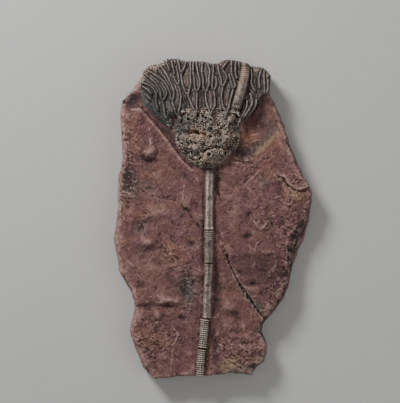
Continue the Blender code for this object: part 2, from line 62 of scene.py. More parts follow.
# Plan, clockwise from the crown's left corner: x, y, and how far in the top edge stands.
SLAB_OUTLINE = [
    (-86, 188, 1.2), (-79, 193, 1.2), (-66, 195, 1.2), (-56, 200, 1.2), (-47, 202, 1.2),
    (-34, 198, 1.2), (-11, 198, 1.2), (-3, 195.5, 1.2), (5, 195.5, 1.2), (14, 200, 1.2),
    (23, 200, 1.2), (35, 198, 1.2), (48, 192, 1.2), (62, 190.5, 1.2), (69, 185.5, 1.2),
    (74, 179, 1.2), (72.5, 165, 1.2), (73, 154, 1.2), (78, 147, 2), (84, 133, 2), (90, 118, 3),
    (96, 100, 3), (100, 89, 4), (105, 77, 4), (112.5, 60, 3), (119, 49, 2), (126, 33, 2),
    (126, 22, 3), (123, -2, 8), (119, -14, 10), (115, -27, 16), (108, -44, 13), (101, -62, 6),
    (97.5, -82, 6), (89, -104, 6), (72.5, -125, 5), (64, -133, 3), (62.5, -145, 3),
    (69, -160, 2), (69, -169, 3), (65, -182, 3), (55, -189, 3), (49, -198, 2), (24, -195.5, 2),
    (-7, -198.5, 1.5), (-23, -199, 1.5), (-41, -199.5, 2), (-60, -202, 2), (-77, -202, 2),
    (-89, -188, 3), (-99, -163, 3), (-106, -142, 3), (-100, -117, 3), (-100, -109, 3),
    (-105, -89, 3), (-116, -73, 2), (-120, -65, 2), (-120, -54, 2), (-126, -24, 2),
    (-121, 4, 2), (-121, 25, 2), (-120, 54, 2), (-115, 68, 2), (-115, 86, 2),
    (-117.5, 117, 2), (-117.5, 133, 2), (-115, 148, 2), (-104, 160, 3), (-94, 174, 2),
]

# Humps and hollows of the face: x, y, half lengths along and across, turn in degrees, rise.
SLAB_HUMPS = [
    (-79, 82, 9, 8, 0, 2.8), (-78, 100.5, 12, 4, -90, 1.2), (-105, 144.5, 11, 9, 60, -3.0),
    (-80, -29.5, 8, 7, 0, 2.6), (-92.5, -9.5, 14, 9, 10, -1.7), (-70, 5.5, 18, 10, 0, 1.2),
    (-32.5, 19.5, 6, 10, 0, 1.6), (-32.5, 10.5, 6, 3, -20, -1.8), (-26, -31, 8, 4, 0, -2.2),
    (-110, -67, 10, 6, 0, 1.6), (-60, -99.5, 16, 8, -8, 2.8), (-70, -120.5, 6, 6, 0, 1.8),
    (-89, -109.5, 8, 4, 0, -1.8), (-32.5, -92, 14, 22, 0, -1.5), (-37.5, -124.5, 6, 3, 0, -1.5),
    (45, 5, 6, 4, 20, -1.6), (44, -22.5, 6, 3, 10, -1.4), (61, -7, 11, 10, 0, 1.6),
    (24, 13, 12, 28, 0, 0.8), (5, -70.5, 6, 35, 0, -2.2), (6, 44.5, 6, 18, 0, -1.8),
    (56, -113, 6, 10, 0, -3.0), (69, -114.5, 5, 11, 0, 1.6), (24, -119.5, 10, 5, 0, -1.8),
    (29, -142, 9, 4, 0, -1.6), (44, -164.5, 15, 6, 0, 1.8), (47.5, -185.5, 15, 9, 0, -3.2),
    (-84, -192, 10, 6, -40, -2.5), (-99, -140.5, 6, 11, 0, -2.0),
    (-95, -169.5, 6, 15, -30, -1.4), (-114, 48, 9, 18, 0, -1.6), (89, 17, 10, 8, 0, 1.2),
    (50, -82, 9, 3, 0, -1.6), (37.5, -68, 8, 4, -20, -1.4), (61, -39.5, 18, 8, 0, 1.0),
    (40, 80.5, 15, 10, 0, -1.6), (61, 50.5, 8, 10, 0, -1.3), (-79, -67, 15, 9, 0, 0.9),
    (-66, -152, 25, 15, 0, 0.9), (90, -58, 10, 15, 0, -1.0),
]

# Small pits, chips and knobs left by the cleaning, in the same form. Two wide ones fill in
# most of a hollow that the list above has.
SLAB_PITS = [
    (-67.5, -20.5, 2, 2, 0, -1.3), (-70, -14.5, 2, 1.5, 0, -1.1), (-79, 4.5, 2, 2, 0, 1.0),
    (-81, 2, 2, 2, 0, 0.9), (-85, -4.5, 4, 2, -20, -1.2), (-51, -4.5, 4, 2, -20, -1.0),
    (-34, 12, 4.5, 2, -15, -0.8), (-26, -31, 4, 2.5, 0, -0.4), (37.5, 35.5, 4, 2, 0, -1.2),
    (55, 63, 3, 2, -20, -1.7), (42.5, 19.5, 2, 2, 0, -1.1), (36, -5.5, 1.5, 1, 0, -0.9),
    (42.5, -5.5, 1.5, 1, 0, -0.9), (54, -2, 2, 2, 0, -1.1), (45, 7, 4.5, 3, 0, -0.6),
    (50, 3, 2.5, 2, 0, -0.5), (41, -22, 4, 2, 0, -0.3), (49, -22.5, 3, 1.5, 0, -0.3),
    (7.5, 29.5, 2, 4.5, 0, -1.8), (5, -102.5, 6, 2, -15, -1.5), (1, -143, 2, 4, 0, -1.1),
    (-37.5, -125, 4.5, 2, 0, -0.5), (-90.5, -153, 5.5, 1.5, 22, -1.7),
    (-89, -109.5, 5, 3, 15, -0.6), (-97.5, -110.5, 4, 2, 0, -1.0), (-110, 98, 5, 2, 0, -1.3),
    (-112.5, 105.5, 4, 2, 0, -1.2), (-111, 120.5, 4.5, 2, 0, -1.3), (-89, 139, 3, 2, 0, -1.8),
    (-35, 53, 2, 3.5, 0, -1.1), (-79, 72, 7.5, 2.5, 0, -1.0), (-64, -104, 6, 3.5, 15, 1.8),
    (-54, -102, 4, 2.5, 0, 1.7), (-45, -103, 3.5, 2.5, -10, 1.5), (-56, -110, 13, 2.4, -8, -1.6),
    (-70, -127.5, 5, 2, 0, -1.3), (56, 4.5, 2.5, 2.5, 0, 0.7), (87.5, -98, 2.5, 6, 60, -0.8),
    (76, -97, 4, 4, 0, 0.9), (69, -112, 3, 6, -10, 0.8), (24, -58, 2, 6, -20, -1.0),
    (16, -68, 4, 6, 0, -0.9), (34, -67, 3, 2, -30, -1.6), (37.5, -70.5, 2.5, 1.5, -30, -1.0),
    (50, -83, 6, 2, 8, -1.4), (109, 28, 4, 2.5, 0, -1.0), (106, 57, 3, 2, 20, -1.0),
    (31, 72, 10, 1.5, -10, -1.6), (67.5, 75.5, 6, 1.5, 5, -1.2), (40, 69, 4, 1.5, -25, -1.3),
    (-102.5, -135.5, 2.5, 4, -30, -1.2), (-99, -143, 3, 3, -30, -1.2),
    (-101, -147, 2.5, 2.5, 0, -1.0), (-85, -167, 4, 2.5, 40, -1.3), (-90, -173, 2.5, 4, -20, -1.1),
    (57, -112, 6, 9, 15, 3.4), (56, -169.5, 5, 2, -20, -1.4), (62.5, -173, 3, 2, -30, -1.2),
    (47.5, -185.5, 13, 8, 0, 2.2),
    (29, -150.5, 6, 2, 0, -1.3), (42.5, -155, 10, 2, -3, -1.6), (42.5, -159.5, 11, 2, -3, 1.3),
    (-12.5, 28, 2, 7.5, 0, -0.8), (-12.5, -20.5, 1.5, 7.5, 0, -0.9),
]
# Where the face is flaky and pitted rather than rubbed smooth.
SLAB_ROUGH = [
    (-106, 73, 11, 47.5, 0, 0.8), (-109, 29.5, 15, 17.5, 0, 0.8), (-81, -158, 25, 32.5, 0, 0.8),
    (40, -170.5, 30, 25, 0, 0.9), (96, -20.5, 17.5, 56, 0, 0.7), (-51, -47, 7.5, 15, 30, 1.0),
    (-29, -89.5, 15, 32.5, 0, 0.8), (74, -89.5, 17.5, 22.5, 0, 0.7),
    (64, 4.5, 12.5, 17.5, 0, 0.6), (46, 67, 17.5, 15, 0, 0.6), (106, 45.5, 15, 12.5, 0, 0.7),
    (-54, -139.5, 17.5, 17.5, 0, 0.3), (11, -158, 12.5, 15, 0, 0.5), (-10, -205, 90, 8, 0, 0.6),
]

# Corners where the face has come away in flat chips.
SLAB_BREAKS = [
    (48, -192, 24, 7, 8, 1.0), (65, -172, 5, 14, 0, 1.0), (112, -24, 7, 14, -20, 0.9),
    (100, -50, 6, 14, -20, 0.8), (-88, -194, 6, 6, 0, 0.8), (-108, 158, 10, 8, 40, 0.8),
    (88, -102, 6, 10, -30, 0.5),
]

# Cracks and preparation grooves: half width, depth, and the line they follow. The last three
# are the groove that the stem lies in.
SLAB_GROOVES = [
    (1.5, 2.4, [(18, -46), (21, -58), (25, -66), (29, -74), (34, -83)]),
    (3.4, 3.8, [(34, -83), (38, -90), (43, -97), (48, -103)]),
    (1.8, 2.4, [(48, -103), (54, -113), (60, -120), (64, -125)]),
    (2.8, 0.7, [(-88, 88), (-89, 80), (-85, 73.5), (-78, 71.5), (-72, 74), (-69, 82), (-71, 90)]),
    (5.0, 1.7, [(6, -17), (11, -33), (19, -54)]),
    (1.3, 1.1, [(-80.5, 30), (-76, 28), (-71, 29), (-66, 25), (-59, 25), (-52.5, 29.5)]),
    (1.3, 1.0, [(-54, 24), (-46, 22.5), (-42.5, 19.5), (-37.5, 14.5)]),
    (2.6, 0.8, [(-31, 9.5), (-29, 5.5), (-24, -2), (-19, -8), (-14, -15.5), (-12.5, -23)]),
    (1.4, 1.0, [(-94.5, 40), (-89, 35.5), (-84, 32)]),
    (1.2, 1.3, [(-50, -169.5), (-44, -174.5), (-39.5, -178)]),
    (8.0, 2.6, [(-9.7, -122), (-12.8, -162), (-15.8, -199)]),
    (7.2, 1.2, [(-5, -14), (-5, -56), (-6, -94), (-7.5, -124)]),
    (6.5, 1.2, [(-4.5, 62), (-4.8, 24), (-5, -14), (-5, -56), (-6, -94), (-7.5, -124),
                (-11, -140), (-13, -163), (-15.5, -197)]),
]
# Low ridges, and the drop-shaped knob with its tail: half width, rise, and the line.
SLAB_RIDGES = [
    (9.0, 1.6, [(-80, 82), (-78.5, 85)]), (3.2, 1.4, [(-79, 112), (-78, 102), (-78, 92)]),
    (0.9, 0.5, [(-43, -143), (-46, -152), (-50, -158), (-51, -167), (-52.5, -187)]),
    (2.4, 1.1, [(62.5, 67), (54, 54.5), (46, 48), (39, 40.5), (36, 28)]),
    (2.2, 1.2, [(51, -3), (56, -10.5), (60, -14), (65, -8), (69, -3)]),
    (1.8, 1.0, [(74, 25.5), (84, 27), (89, 19.5), (96, 17), (99, 20.5)]),
    (1.2, 0.9, [(-37, 35.5), (-37, 27), (-39, 22)]),
    (2.2, 0.6, [(-92, 136), (-82, 124), (-71, 112), (-59, 97), (-48, 81), (-36, 67)]),
    (1.5, 0.7, [(-22.5, 55.5), (-17.5, 48)]),
    (2.0, 0.9, [(46, -34.5), (51, -39.5), (56, -30.5), (61, -25.5)]),
    (1.4, 0.7, [(9, -157), (13, -164.5)]),
    (2.0, 0.8, [(71, 59.5), (84, 48), (96, 38), (105, 28)]),
    (1.6, 0.8, [(-62.5, -30.5), (-57.5, -39.5), (-51, -47), (-44, -54.5)]),
    (1.3, 0.9, [(35, 104), (44, 103), (53, 105)]), (1.3, 0.9, [(36, 98), (48, 96), (60, 99)]),
    (1.3, 0.8, [(38, 91), (48, 91), (54, 89)]), (1.3, 0.7, [(40, 113), (52, 114), (62, 118)]),
    (1.6, 0.6, [(79, -34.5), (89, -22)]), (1.2, 0.5, [(-56, -34.5), (-51, -38), (-40, -34.5)]),
    (1.5, 0.8, [(-76, -47), (-66, -54.5)]),
]
# The trough along the crown's lower left side: its lower edge, depth, width and far side.
TROUGH_EDGE = [(-91, 138), (-80, 126), (-69, 114), (-57, 99), (-46, 83), (-34, 69), (-26, 62)]
TROUGH_DEPTH = 2.2
TROUGH_WIDTH = 12.0
TROUGH_FADE = 9.0
# The flake on the right: the foot of its step, its rise, over what width the step grows from
# nothing, and how far back it dies out.
FLAKE_FOOT = [(76, 56), (81, 54), (89, 51), (93, 44), (100, 38), (109, 35), (116, 38), (123, 42)]
FLAKE_RISE = 3.4
FLAKE_START = 12.0
FLAKE_FADE = 34.0
BEDDING_STEP = 0.7          # height of a step from one bedding plane to the next
FINE_CRACK_DEPTH = 0.8
CHIP_SIZE = 10.0            # width of a flat chip at a broken corner
CHIP_DEPTH = 3.0

# Where the stone is stained or scuffed, and where shadow and highlight are painted on it: x, y,
# half lengths along and across, turn, strength.
SLAB_STAINS_AND_PAINTED_LIGHT = {
    "tan": [(67, 93, 27, 3.0, 43, 1.2), (92, 42, 24, 5, -42, 0.8), (20, -181, 18, 7, 10, 0.9),
            (54, -178, 10, 5, 10, 0.5),
            (-112, 105, 7, 22, 0, 0.6), (-114, 18, 6, 6, 0, 0.9), (101, 28, 12, 5, -20, 0.6),
            (-95, -170, 6, 16, 25, 0.5), (-60, -104, 14, 3, 8, 0.4), (-60, -60, 5, 22, 0, 0.3),
            (-50, -50, 6, 12, 30, 0.4), (82, -90, 6, 12, 0, 0.3)],
    "rust": [(46, 100, 14, 10, 0, 1.0), (-66, 16, 24, 6, -5, 0.9), (-50, -38, 9, 20, 35, 0.8),
             (76, 96, 20, 12, 40, 0.9),
             (-100, 6, 20, 6, 0, 0.6), (70, 60, 10, 20, -40, 0.6), (92, -66, 14, 30, 0, 0.5),
             (-76, -150, 28, 22, 0, 0.6), (30, -186, 26, 10, 0, 0.9), (-100, 104, 14, 26, 0, 0.6),
             (24, -100, 14, 14, 0, 0.4), (-60, 60, 30, 24, -40, 0.4)],
    "grey": [(-103, 42, 14, 20, 0, 0.9), (-30, -88, 12, 26, 0, 0.9), (41, -94, 4, 11, 38, 1.4),
             (-30, -33, 9, 6, 0, 0.6), (-92, -12, 13, 10, 10, 0.5), (38, -190, 32, 9, 4, 1.3),
             (62, 46, 10, 12, 0, 0.7), (63, 98, 26, 4.5, 43, 1.1), (6, 60, 10, 8, 0, 0.7),
             (-55, 105, 12, 7, -50, 0.7), (64, 122, 12, 18, 0, 0.5), (-112, 105, 6, 24, 0, 0.5),
             (56, -172, 12, 12, 0, 0.5), (57, -111, 5, 7, 30, 2.6), (-18, 66, 12, 5, -30, 0.6)],
    # Dark: stains, and painted shadows beside the stem, under the drop-shaped knob and in the trough by
    # the crown, and painted shade over the lower right.
    "dark": [(-103, 151, 15, 12, 0, 1.8), (-56, 107, 26, 5, -50, 0.7), (-74, 126, 12, 6, -45, 0.7),
             (-80, 80, 10, 10, 0, 0.7), (-76, 72, 9, 3, 0, 0.6),
             (60, 122, 14, 16, 20, 0.7), (84, 62, 16, 9, -30, 0.5),
             (38, 84, 12, 12, 0, 0.9), (5, -80, 4, 50, 3, 0.6), (-36, -190, 50, 8, 0, 0.3),
             (5, 40, 4, 26, 0, 0.6), (90, -72, 20, 34, 10, 0.4), (-106, 48, 12, 22, 0, 1.3),
             (-89, -109, 8, 4, 0, 0.7), (-70, -126, 6, 3, 0, 0.5), (-17, -150, 3, 50, 3, 0.7),
             (88, -12, 14, 10, 0, 0.3), (-30, 8, 7, 6, -20, 0.5), (24, 90, 10, 5, 40, 0.8),
             (2, -150, 4, 40, 3, 0.6), (24, -120, 10, 6, 0, 0.5), (4, -170, 5, 30, 0, 0.6),
             (-12.2, 20, 2, 42, 0, 1.1), (-12.4, -40, 2, 42, 0, 1.1), (-13.8, -92, 2, 32, 2, 1.1),
             (48, -66, 46, 42, 0, 0.7), (113, -4, 10, 26, 0, 0.8), (25, -160, 30, 25, 0, 0.2),
             (-112, 60, 7, 60, 0, 0.25), (-82, -155, 26, 26, 0, 0.45), (-108, 110, 10, 28, 0, 0.35),
             (82, -95, 14, 30, 0, 0.4),
             (108, 0, 6, 20, 10, 0.3), (60, -60, 22, 12, -20, 0.3)],
    # Pale: scuffs, and painted highlights on the lit ledge and on other humps and ridges.
    "pale": [(-68, 12, 16, 10, 0, 0.8), (-38, 28, 5, 10, 0, 0.6), (24, 8, 12, 26, 0, 0.6),
             (-60, -100, 18, 4, -8, 0.7), (-104, -62, 10, 14, 0, 0.5), (-78, -62, 20, 14, 0, 0.5),
             (60, -10, 9, 4, -30, 0.6), (-36, -18, 10, 10, 0, 0.4), (20, -108, 14, 9, 0, 0.6),
             (-60, 72, 22, 16, -40, 0.3), (90, 110, 8, 24, 20, 0.5), (44, -162, 14, 4, 0, 0.6),
             (-72, -135, 12, 5, 0, 0.5), (75, -80, 12, 20, 0, 0.3), (90, 60, 20, 8, -40, 0.3),
             (-52, -60, 10, 12, 0, 0.4), (16, -66, 5, 6, 0, 0.3), (-100, 90, 8, 30, 0, 0.2)],
}

# Where the cleaning points have scored the face: x, y, half the width and half the height.
SCORED = [(-60, 40, 45, 60), (-55, -140, 50, 45), (55, 60, 45, 40), (60, -40, 50, 55),
          (40, -150, 35, 35), (-80, -40, 35, 45)]
SCORES_EACH = 16
SCORE_HALF_WIDTH = 0.8
LONG_SCORE_HALF_WIDTH = 0.9
LONG_SCORES = [[(-43, -143), (-46, -152), (-50, -158), (-51, -167), (-52.5, -190)],
               [(45, -102), (53, -113), (61, -125)], [(-38, 54), (-36, 42), (-39, 30)],
               [(-30, 60), (-23, 52), (-17, 46)], [(46, 34), (54, 47), (66, 58)]]


def along_lines(xs, ys, line):
    """Each point's distance in plan from a chain of points."""
    best = np.full(xs.shape, 1e9)
    for (ax, ay), (bx, by) in zip(line, line[1:]):
        share = ((xs - ax) * (bx - ax) + (ys - ay) * (by - ay)) / ((bx - ax) ** 2 + (by - ay) ** 2)
        share = np.clip(share, 0, 1)
        best = np.minimum(best, np.hypot(xs - ax - share * (bx - ax), ys - ay - share * (by - ay)))
    return best


def ramp(values):
    """Smooth step from 0 to 1."""
    values = np.clip(values, 0, 1)
    return values * values * (3 - 2 * values)


def grain(xs, ys, size, seed, octaves=1, roughness=0.6):
    """Fractal noise over the plan, with lumps of about the given size."""
    return np.array([
        noise.fractal(Vector((x / size, y / size, seed)), roughness, 2.0, octaves)
        for x, y in zip(xs, ys)
    ])


def lumps(xs, ys, size, seed):
    """Smooth noise over the plan, with lumps of about the given size."""
    return np.array([noise.noise(Vector((x / size, y / size, seed))) for x, y in zip(xs, ys)])


def cells(xs, ys, size, seed):
    """Distance to the nearest of scattered points, in cells of about the given size."""
    return np.array([
        noise.voronoi(Vector((x / size, y / size, seed)))[0][0] for x, y in zip(xs, ys)
    ])


def blots(xs, ys, spots):
    """Sum of soft oval spots over the plan."""
    total = np.zeros(xs.shape)
    for cx, cy, along, across, turn, strength in spots:
        c = math.cos(math.radians(turn))
        s = math.sin(math.radians(turn))
        u = ((xs - cx) * c + (ys - cy) * s) / along
        v = ((ys - cy) * c - (xs - cx) * s) / across
        total += strength * np.exp(-(u * u + v * v))
    return total


def marks_at(points, stains):
    """How strong each kind of mark is at each point: stains, and on the slab and the cup painted
    shade and highlight as well.
    """
    return {key: blots(*points[:, :2].T, spots) for key, spots in stains.items()}


def slab_base(xs, ys):
    """The slab's broad form, the same as its CAD node has."""
    z = np.full(xs.shape, SLAB_THICKNESS)
    z += 2.6 * lumps(xs, ys, 70, 1.7)
    z += 1.3 * lumps(xs, ys, 24, 5.2)
    z += blots(xs, ys, SLAB_HUMPS)
    north = ys - np.interp(xs, *zip(*FLAKE_FOOT))
    start = ramp((xs - FLAKE_FOOT[0][0]) / FLAKE_START)
    z += FLAKE_RISE * start * ramp(north / 1.6 + 0.5) * np.exp(-np.maximum(0, north) / FLAKE_FADE)
    return z


def trough(xs, ys, ragged):
    """Depth of the trough beside the crown."""
    above = ys - np.interp(xs, *zip(*TROUGH_EDGE)) + ragged
    kept = ramp((xs + 112) / 15) * ramp((-18 - xs) / 8) * np.exp(
        -np.maximum(0, above - TROUGH_WIDTH) / TROUGH_FADE)
    return TROUGH_DEPTH * kept * ramp(above / 3.0 + 0.5)


def split_skin(z, xs, ys):
    """The height with the split stone's own relief on it: bedding steps, soft lumps, flakes
    that lift where it is rough, a fine grain aslant, short cracks, and chips off its corners."""
    rough = np.clip(0.18 + blots(xs, ys, SLAB_ROUGH), 0, 1)
    steps = 1.7 * grain(xs, ys, 36.0, 11.0, 5, 0.75) + 0.5
    z += BEDDING_STEP * (np.floor(steps) + ramp((steps - np.floor(steps) - 0.5) / 0.5))
    z += 1.7 * grain(xs, ys, 24.0, 3.0, 2, 0.5)
    z += (0.10 + 0.80 * rough) * grain(xs, ys, 8.0, 33.0, 3, 0.6)
    flakes = 2.6 * grain(xs, ys, 9.0, 44.0, 4, 0.7)
    z += (0.1 + 0.9 * rough) * (flakes - np.floor(flakes) - 0.5) * ramp(
        0.5 + 2 * grain(xs, ys, 11.0, 46.0))
    along = xs * 0.5 + ys * 0.87
    across = xs * 0.87 - ys * 0.5
    z += 0.3 * (1 - 0.6 * rough) * grain(along / 3.5, across, 2.4, 57.0, 3, 0.7)
    z += (0.15 + 0.5 * rough) * grain(xs, ys, 3.2, 48.0, 3, 0.75)
    aslant = (0.9 * xs - 0.44 * ys) / 2.4, 0.44 * xs + 0.9 * ys
    z -= FINE_CRACK_DEPTH * rough * ramp(1 - 3.5 * np.abs(grain(*aslant, 8.0, 49.0, 3, 0.7)))
    broken = np.clip(blots(xs, ys, SLAB_BREAKS), 0, 1)
    facets = cells(xs + 2 * grain(xs, ys, 8.0, 73.0), ys, CHIP_SIZE, 71.0)
    z -= broken * (0.4 + CHIP_DEPTH * facets)
    return z


def slab_face(xs, ys):
    """Height of the cleaned face. Its wide humps and hollows stand out further than the CAD
    node's, and its pits, cracks and ridges have ragged edges."""
    wide = [hump for hump in SLAB_HUMPS if min(hump[2:4]) > 6.5 and hump[5] > -3]
    ragged = 0.9 * grain(xs, ys, 4.0, 2.0, 4, 0.8)
    z = slab_base(xs, ys) + 0.75 * blots(xs, ys, wide)
    z += 0.85 * blots(xs + 2.5 * ragged, ys - 1.5 * ragged, SLAB_PITS)
    z -= trough(xs, ys, ragged)
    broken = ramp(0.85 + 1.2 * grain(xs, ys, 7.0, 50.0, 2))
    for half_width, depth, line in SLAB_GROOVES:
        away = along_lines(xs, ys, line) + ragged * min(1, half_width / 2)
        z -= depth * broken * (1 - ramp(away / half_width))
    fade = ramp(0.7 + 1.4 * grain(xs, ys, 12.0, 52.0))
    for half_width, rise, line in SLAB_RIDGES:
        away = along_lines(xs, ys, line) + 1.7 * ragged
        z += rise * fade * (1 - ramp(away / half_width))
    return split_skin(z, xs, ys)


def side_counts(outline, step):
    """How many lengths of about a step each side of a closed outline is cut into."""
    return [max(1, round(math.dist(a, b) / step))
            for a, b in zip(outline, [*outline[1:], outline[0]])]


def subdivided(ring, counts):
    """A closed outline with each side cut into its own number of equal lengths."""
    made = []
    for (ax, ay), (bx, by), count in zip(ring, [*ring[1:], ring[0]], counts):
        for k in range(count):
            made.append((ax + (bx - ax) * k / count, ay + (by - ay) * k / count))
    return np.array(made)


def inset_outline(outline, insets):
    """The outline moved in by its insets, square to its own direction."""
    moved = []
    for k, point in enumerate(outline):
        along = (Vector(outline[(k + 1) % len(outline)]) - Vector(outline[k - 1])).normalized()
        moved.append((point[0] + along.y * insets[k], point[1] - along.x * insets[k]))
    return moved


def search_tree(points):
    """A tree that finds the nearest of some points of the plan."""
    tree = kdtree.KDTree(len(points))
    for k, (x, y) in enumerate(points):
        tree.insert((x, y, 0), k)
    tree.balance()
    return tree


def points_inside(ring, spacing, margin, seed):
    """A loosely triangular grid inside a closed outline, clear of it by a margin."""
    rng = np.random.default_rng(seed)
    ax, ay = ring.T
    bx, by = np.roll(ring, -1, axis=0).T
    tree = search_tree(ring)
    kept = []
    for row, y in enumerate(np.arange(ay.min(), ay.max(), 0.866 * spacing)):
        crossed = (ay > y) != (by > y)
        edges = np.sort(ax[crossed] + (bx - ax)[crossed] * (y - ay[crossed]) / (by - ay)[crossed])
        for left, right in zip(edges[::2], edges[1::2]):
            start = spacing * (math.ceil(left / spacing) + 0.5 * (row % 2))
            for x in np.arange(start, right, spacing):
                if tree.find((x, y, 0))[2] > margin:
                    kept.append((x, y))
    kept = np.array(kept)
    return kept + rng.uniform(-0.12, 0.12, kept.shape) * spacing


def face_triangles(ring, inside):
    """Triangles over a closed outline and the points in it."""
    flat = [Vector(p) for p in np.vstack([ring, inside])]
    rim = list(range(len(ring)))
    edges = list(zip(rim, [*rim[1:], 0]))
    made = geometry.delaunay_2d_cdt(flat, edges, [rim], 1, 1e-4)
    return np.array([(p.x, p.y) for p in made[0]]), [tuple(t) for t in made[2]]


def smoothed(values, pairs, rounds):
    """A value at each point, evened out over its neighbours again and again."""
    first, second = pairs
    size = len(values)
    count = np.bincount(first, minlength=size) + np.bincount(second, minlength=size)
    count = np.maximum(count, 1)
    for _ in range(rounds):
        total = np.bincount(first, values[second], size) + np.bincount(second, values[first], size)
        values = 0.5 * values + 0.5 * total / count
    return values


def make_piece(name, points, faces, materials, masks, rounds, reach, face_slots=None):
    """A smooth-shaded mesh object from points in millimetres. Two masks say how far each point
    stands out of its surroundings, 0 in a crevice and 1 on a crest: wear_and_painted_shade
    within a millimetre or two, and painted_broad_shade within about a centimetre. The finishes
    paint shade into crevices and highlights onto crests by them; the finer one stands for dirt
    and rubbing as well. Each has its rounds of evening out, and the distance in millimetres
    that counts as full. Other masks that its finish reads come along."""
    points = np.asarray(points, float)
    mesh = bpy.data.meshes.new(name)
    mesh.from_pydata((points * MM).tolist(), [], faces)
    mesh.polygons.foreach_set("use_smooth", np.ones(len(faces), bool))
    mesh.update()
    for material in materials:
        mesh.materials.append(material)
    if face_slots is not None:
        mesh.polygons.foreach_set("material_index", np.asarray(face_slots, np.int32))
    normals = np.empty(3 * len(points), np.float32)
    mesh.vertices.foreach_get("normal", normals)
    normals = normals.reshape(-1, 3)
    ends = np.empty(2 * len(mesh.edges), np.int32)
    mesh.edges.foreach_get("vertices", ends)
    pairs = ends.reshape(-1, 2).T
    masks = dict(masks)
    # Both masks give the finishes painted shade in crevices and painted highlights on crests.
    for key, count, depth in zip(("wear_and_painted_shade", "painted_broad_shade"), rounds, reach):
        even = np.column_stack([smoothed(axis, pairs, count) for axis in points.T])
        proud = ((points - even) * normals).sum(axis=1)
        masks[key] = np.clip(0.5 + 0.5 * proud / depth, 0, 1)
    for key, values in masks.items():
        layer = mesh.attributes.new(key, "FLOAT", "POINT")
        layer.data.foreach_set("value", np.asarray(values, np.float32))
    piece = bpy.data.objects.new(name, mesh)
    bpy.context.scene.collection.objects.link(piece)
    return piece


def from_hex(code):
    """An sRGB hex colour as linear RGBA."""
    parts = [int(code[k:k + 2], 16) / 255 for k in (1, 3, 5)]
    return (*[c / 12.92 if c <= 0.04045 else ((c + 0.055) / 1.055) ** 2.4 for c in parts], 1.0)


def add(tree, kind, values=None, links=None, **settings):
    """Adds a shader node with its settings, its sockets' values and its links."""
    made = tree.nodes.new(kind)
    for key, value in settings.items():
        setattr(made, key, value)
    for socket, value in (values or {}).items():
        made.inputs[socket].default_value = value
    for socket, source in (links or {}).items():
        tree.links.new(source, made.inputs[socket])
    return made


def grained(tree, base, stops, size_mm, share=1.0, how="MIX", detail=5, stretch=(1, 1, 1)):
    """Lays a grain over a stone's colour: noise with lumps of about the given size, coloured
    from (value, hex) stops. Gives the new colour and the noise. A pixel of the render covers
    1.25 mm, so a real grain that is finer is drawn about that coarse, as its material says."""
    where = add(tree, "ShaderNodeTexCoord").outputs["Object"]
    place = add(tree, "ShaderNodeMapping", {"Scale": stretch}, {"Vector": where}).outputs["Vector"]
    field = add(tree, "ShaderNodeTexNoise", {"Scale": 1 / (size_mm * MM), "Detail": detail,
                                             "Roughness": 0.62}, {"Vector": place}).outputs["Fac"]
    tint = add(tree, "ShaderNodeValToRGB", links={"Fac": field})
    while len(tint.color_ramp.elements) < len(stops):
        tint.color_ramp.elements.new(0.5)
    for element, (value, code) in zip(tint.color_ramp.elements, stops):
        element.position = value
        element.color = from_hex(code)
    if base is None:
        return tint.outputs["Color"], field
    mixed = add(tree, "ShaderNodeMix", {0: share}, {6: base, 7: tint.outputs["Color"]},
                data_type="RGBA", blend_type=how)
    return mixed.outputs[2], field


def layered(tree, base, layers, ragged=None):
    """Lays stains, dirt, rubbing, and painted light and shade over a stone's colour, each by its
    mask: the mask's name, its values where the layer starts and is full, and the colour. A grain
    makes ragged edges."""
    for name, low, high, code in layers:
        value = add(tree, "ShaderNodeAttribute", attribute_name=name).outputs["Fac"]
        if ragged is not None:
            value = add(tree, "ShaderNodeMath", {1: 0.9}, {0: ragged, 2: value},
                        operation="MULTIPLY_ADD").outputs[0]
            value = add(tree, "ShaderNodeMath", {1: 0.45}, {0: value},
                        operation="SUBTRACT").outputs[0]
        share = add(tree, "ShaderNodeMapRange", {"From Min": low, "From Max": high},
                    {"Value": value}).outputs["Result"]
        base = add(tree, "ShaderNodeMix", {7: from_hex(code)}, {0: share, 6: base},
                   data_type="RGBA").outputs[2]
    return base


def finished(name, colour, roughness, bumps, specular):
    """A mineral material: colour socket, roughness range over the first bump's noise, a chain
    of bumps, each a height socket, a strength and a depth in millimetres, and its specular
    level. Its IOR of 1.5 is near that of calcite, quartz and clay."""
    tree = colour.id_data
    shader = tree.nodes["Principled BSDF"]
    tree.links.new(colour, shader.inputs["Base Color"])
    shader.inputs["IOR"].default_value = 1.5
    shader.inputs["Specular IOR Level"].default_value = specular
    sheen = add(tree, "ShaderNodeMapRange", {"To Min": roughness[0], "To Max": roughness[1]},
                {"Value": bumps[0][0]})
    tree.links.new(sheen.outputs["Result"], shader.inputs["Roughness"])
    normal = None
    for height, strength, depth_mm in bumps:
        made = add(tree, "ShaderNodeBump", {"Strength": strength, "Distance": depth_mm * MM},
                   {"Height": height})
        if normal is not None:
            tree.links.new(normal, made.inputs["Normal"])
        normal = made.outputs["Normal"]
    tree.links.new(normal, shader.inputs["Normal"])
    return bpy.data.materials[name]


def started(name):
    """A new material's node tree."""
    material = bpy.data.materials.new(name)
    material.use_nodes = True
    return material.node_tree


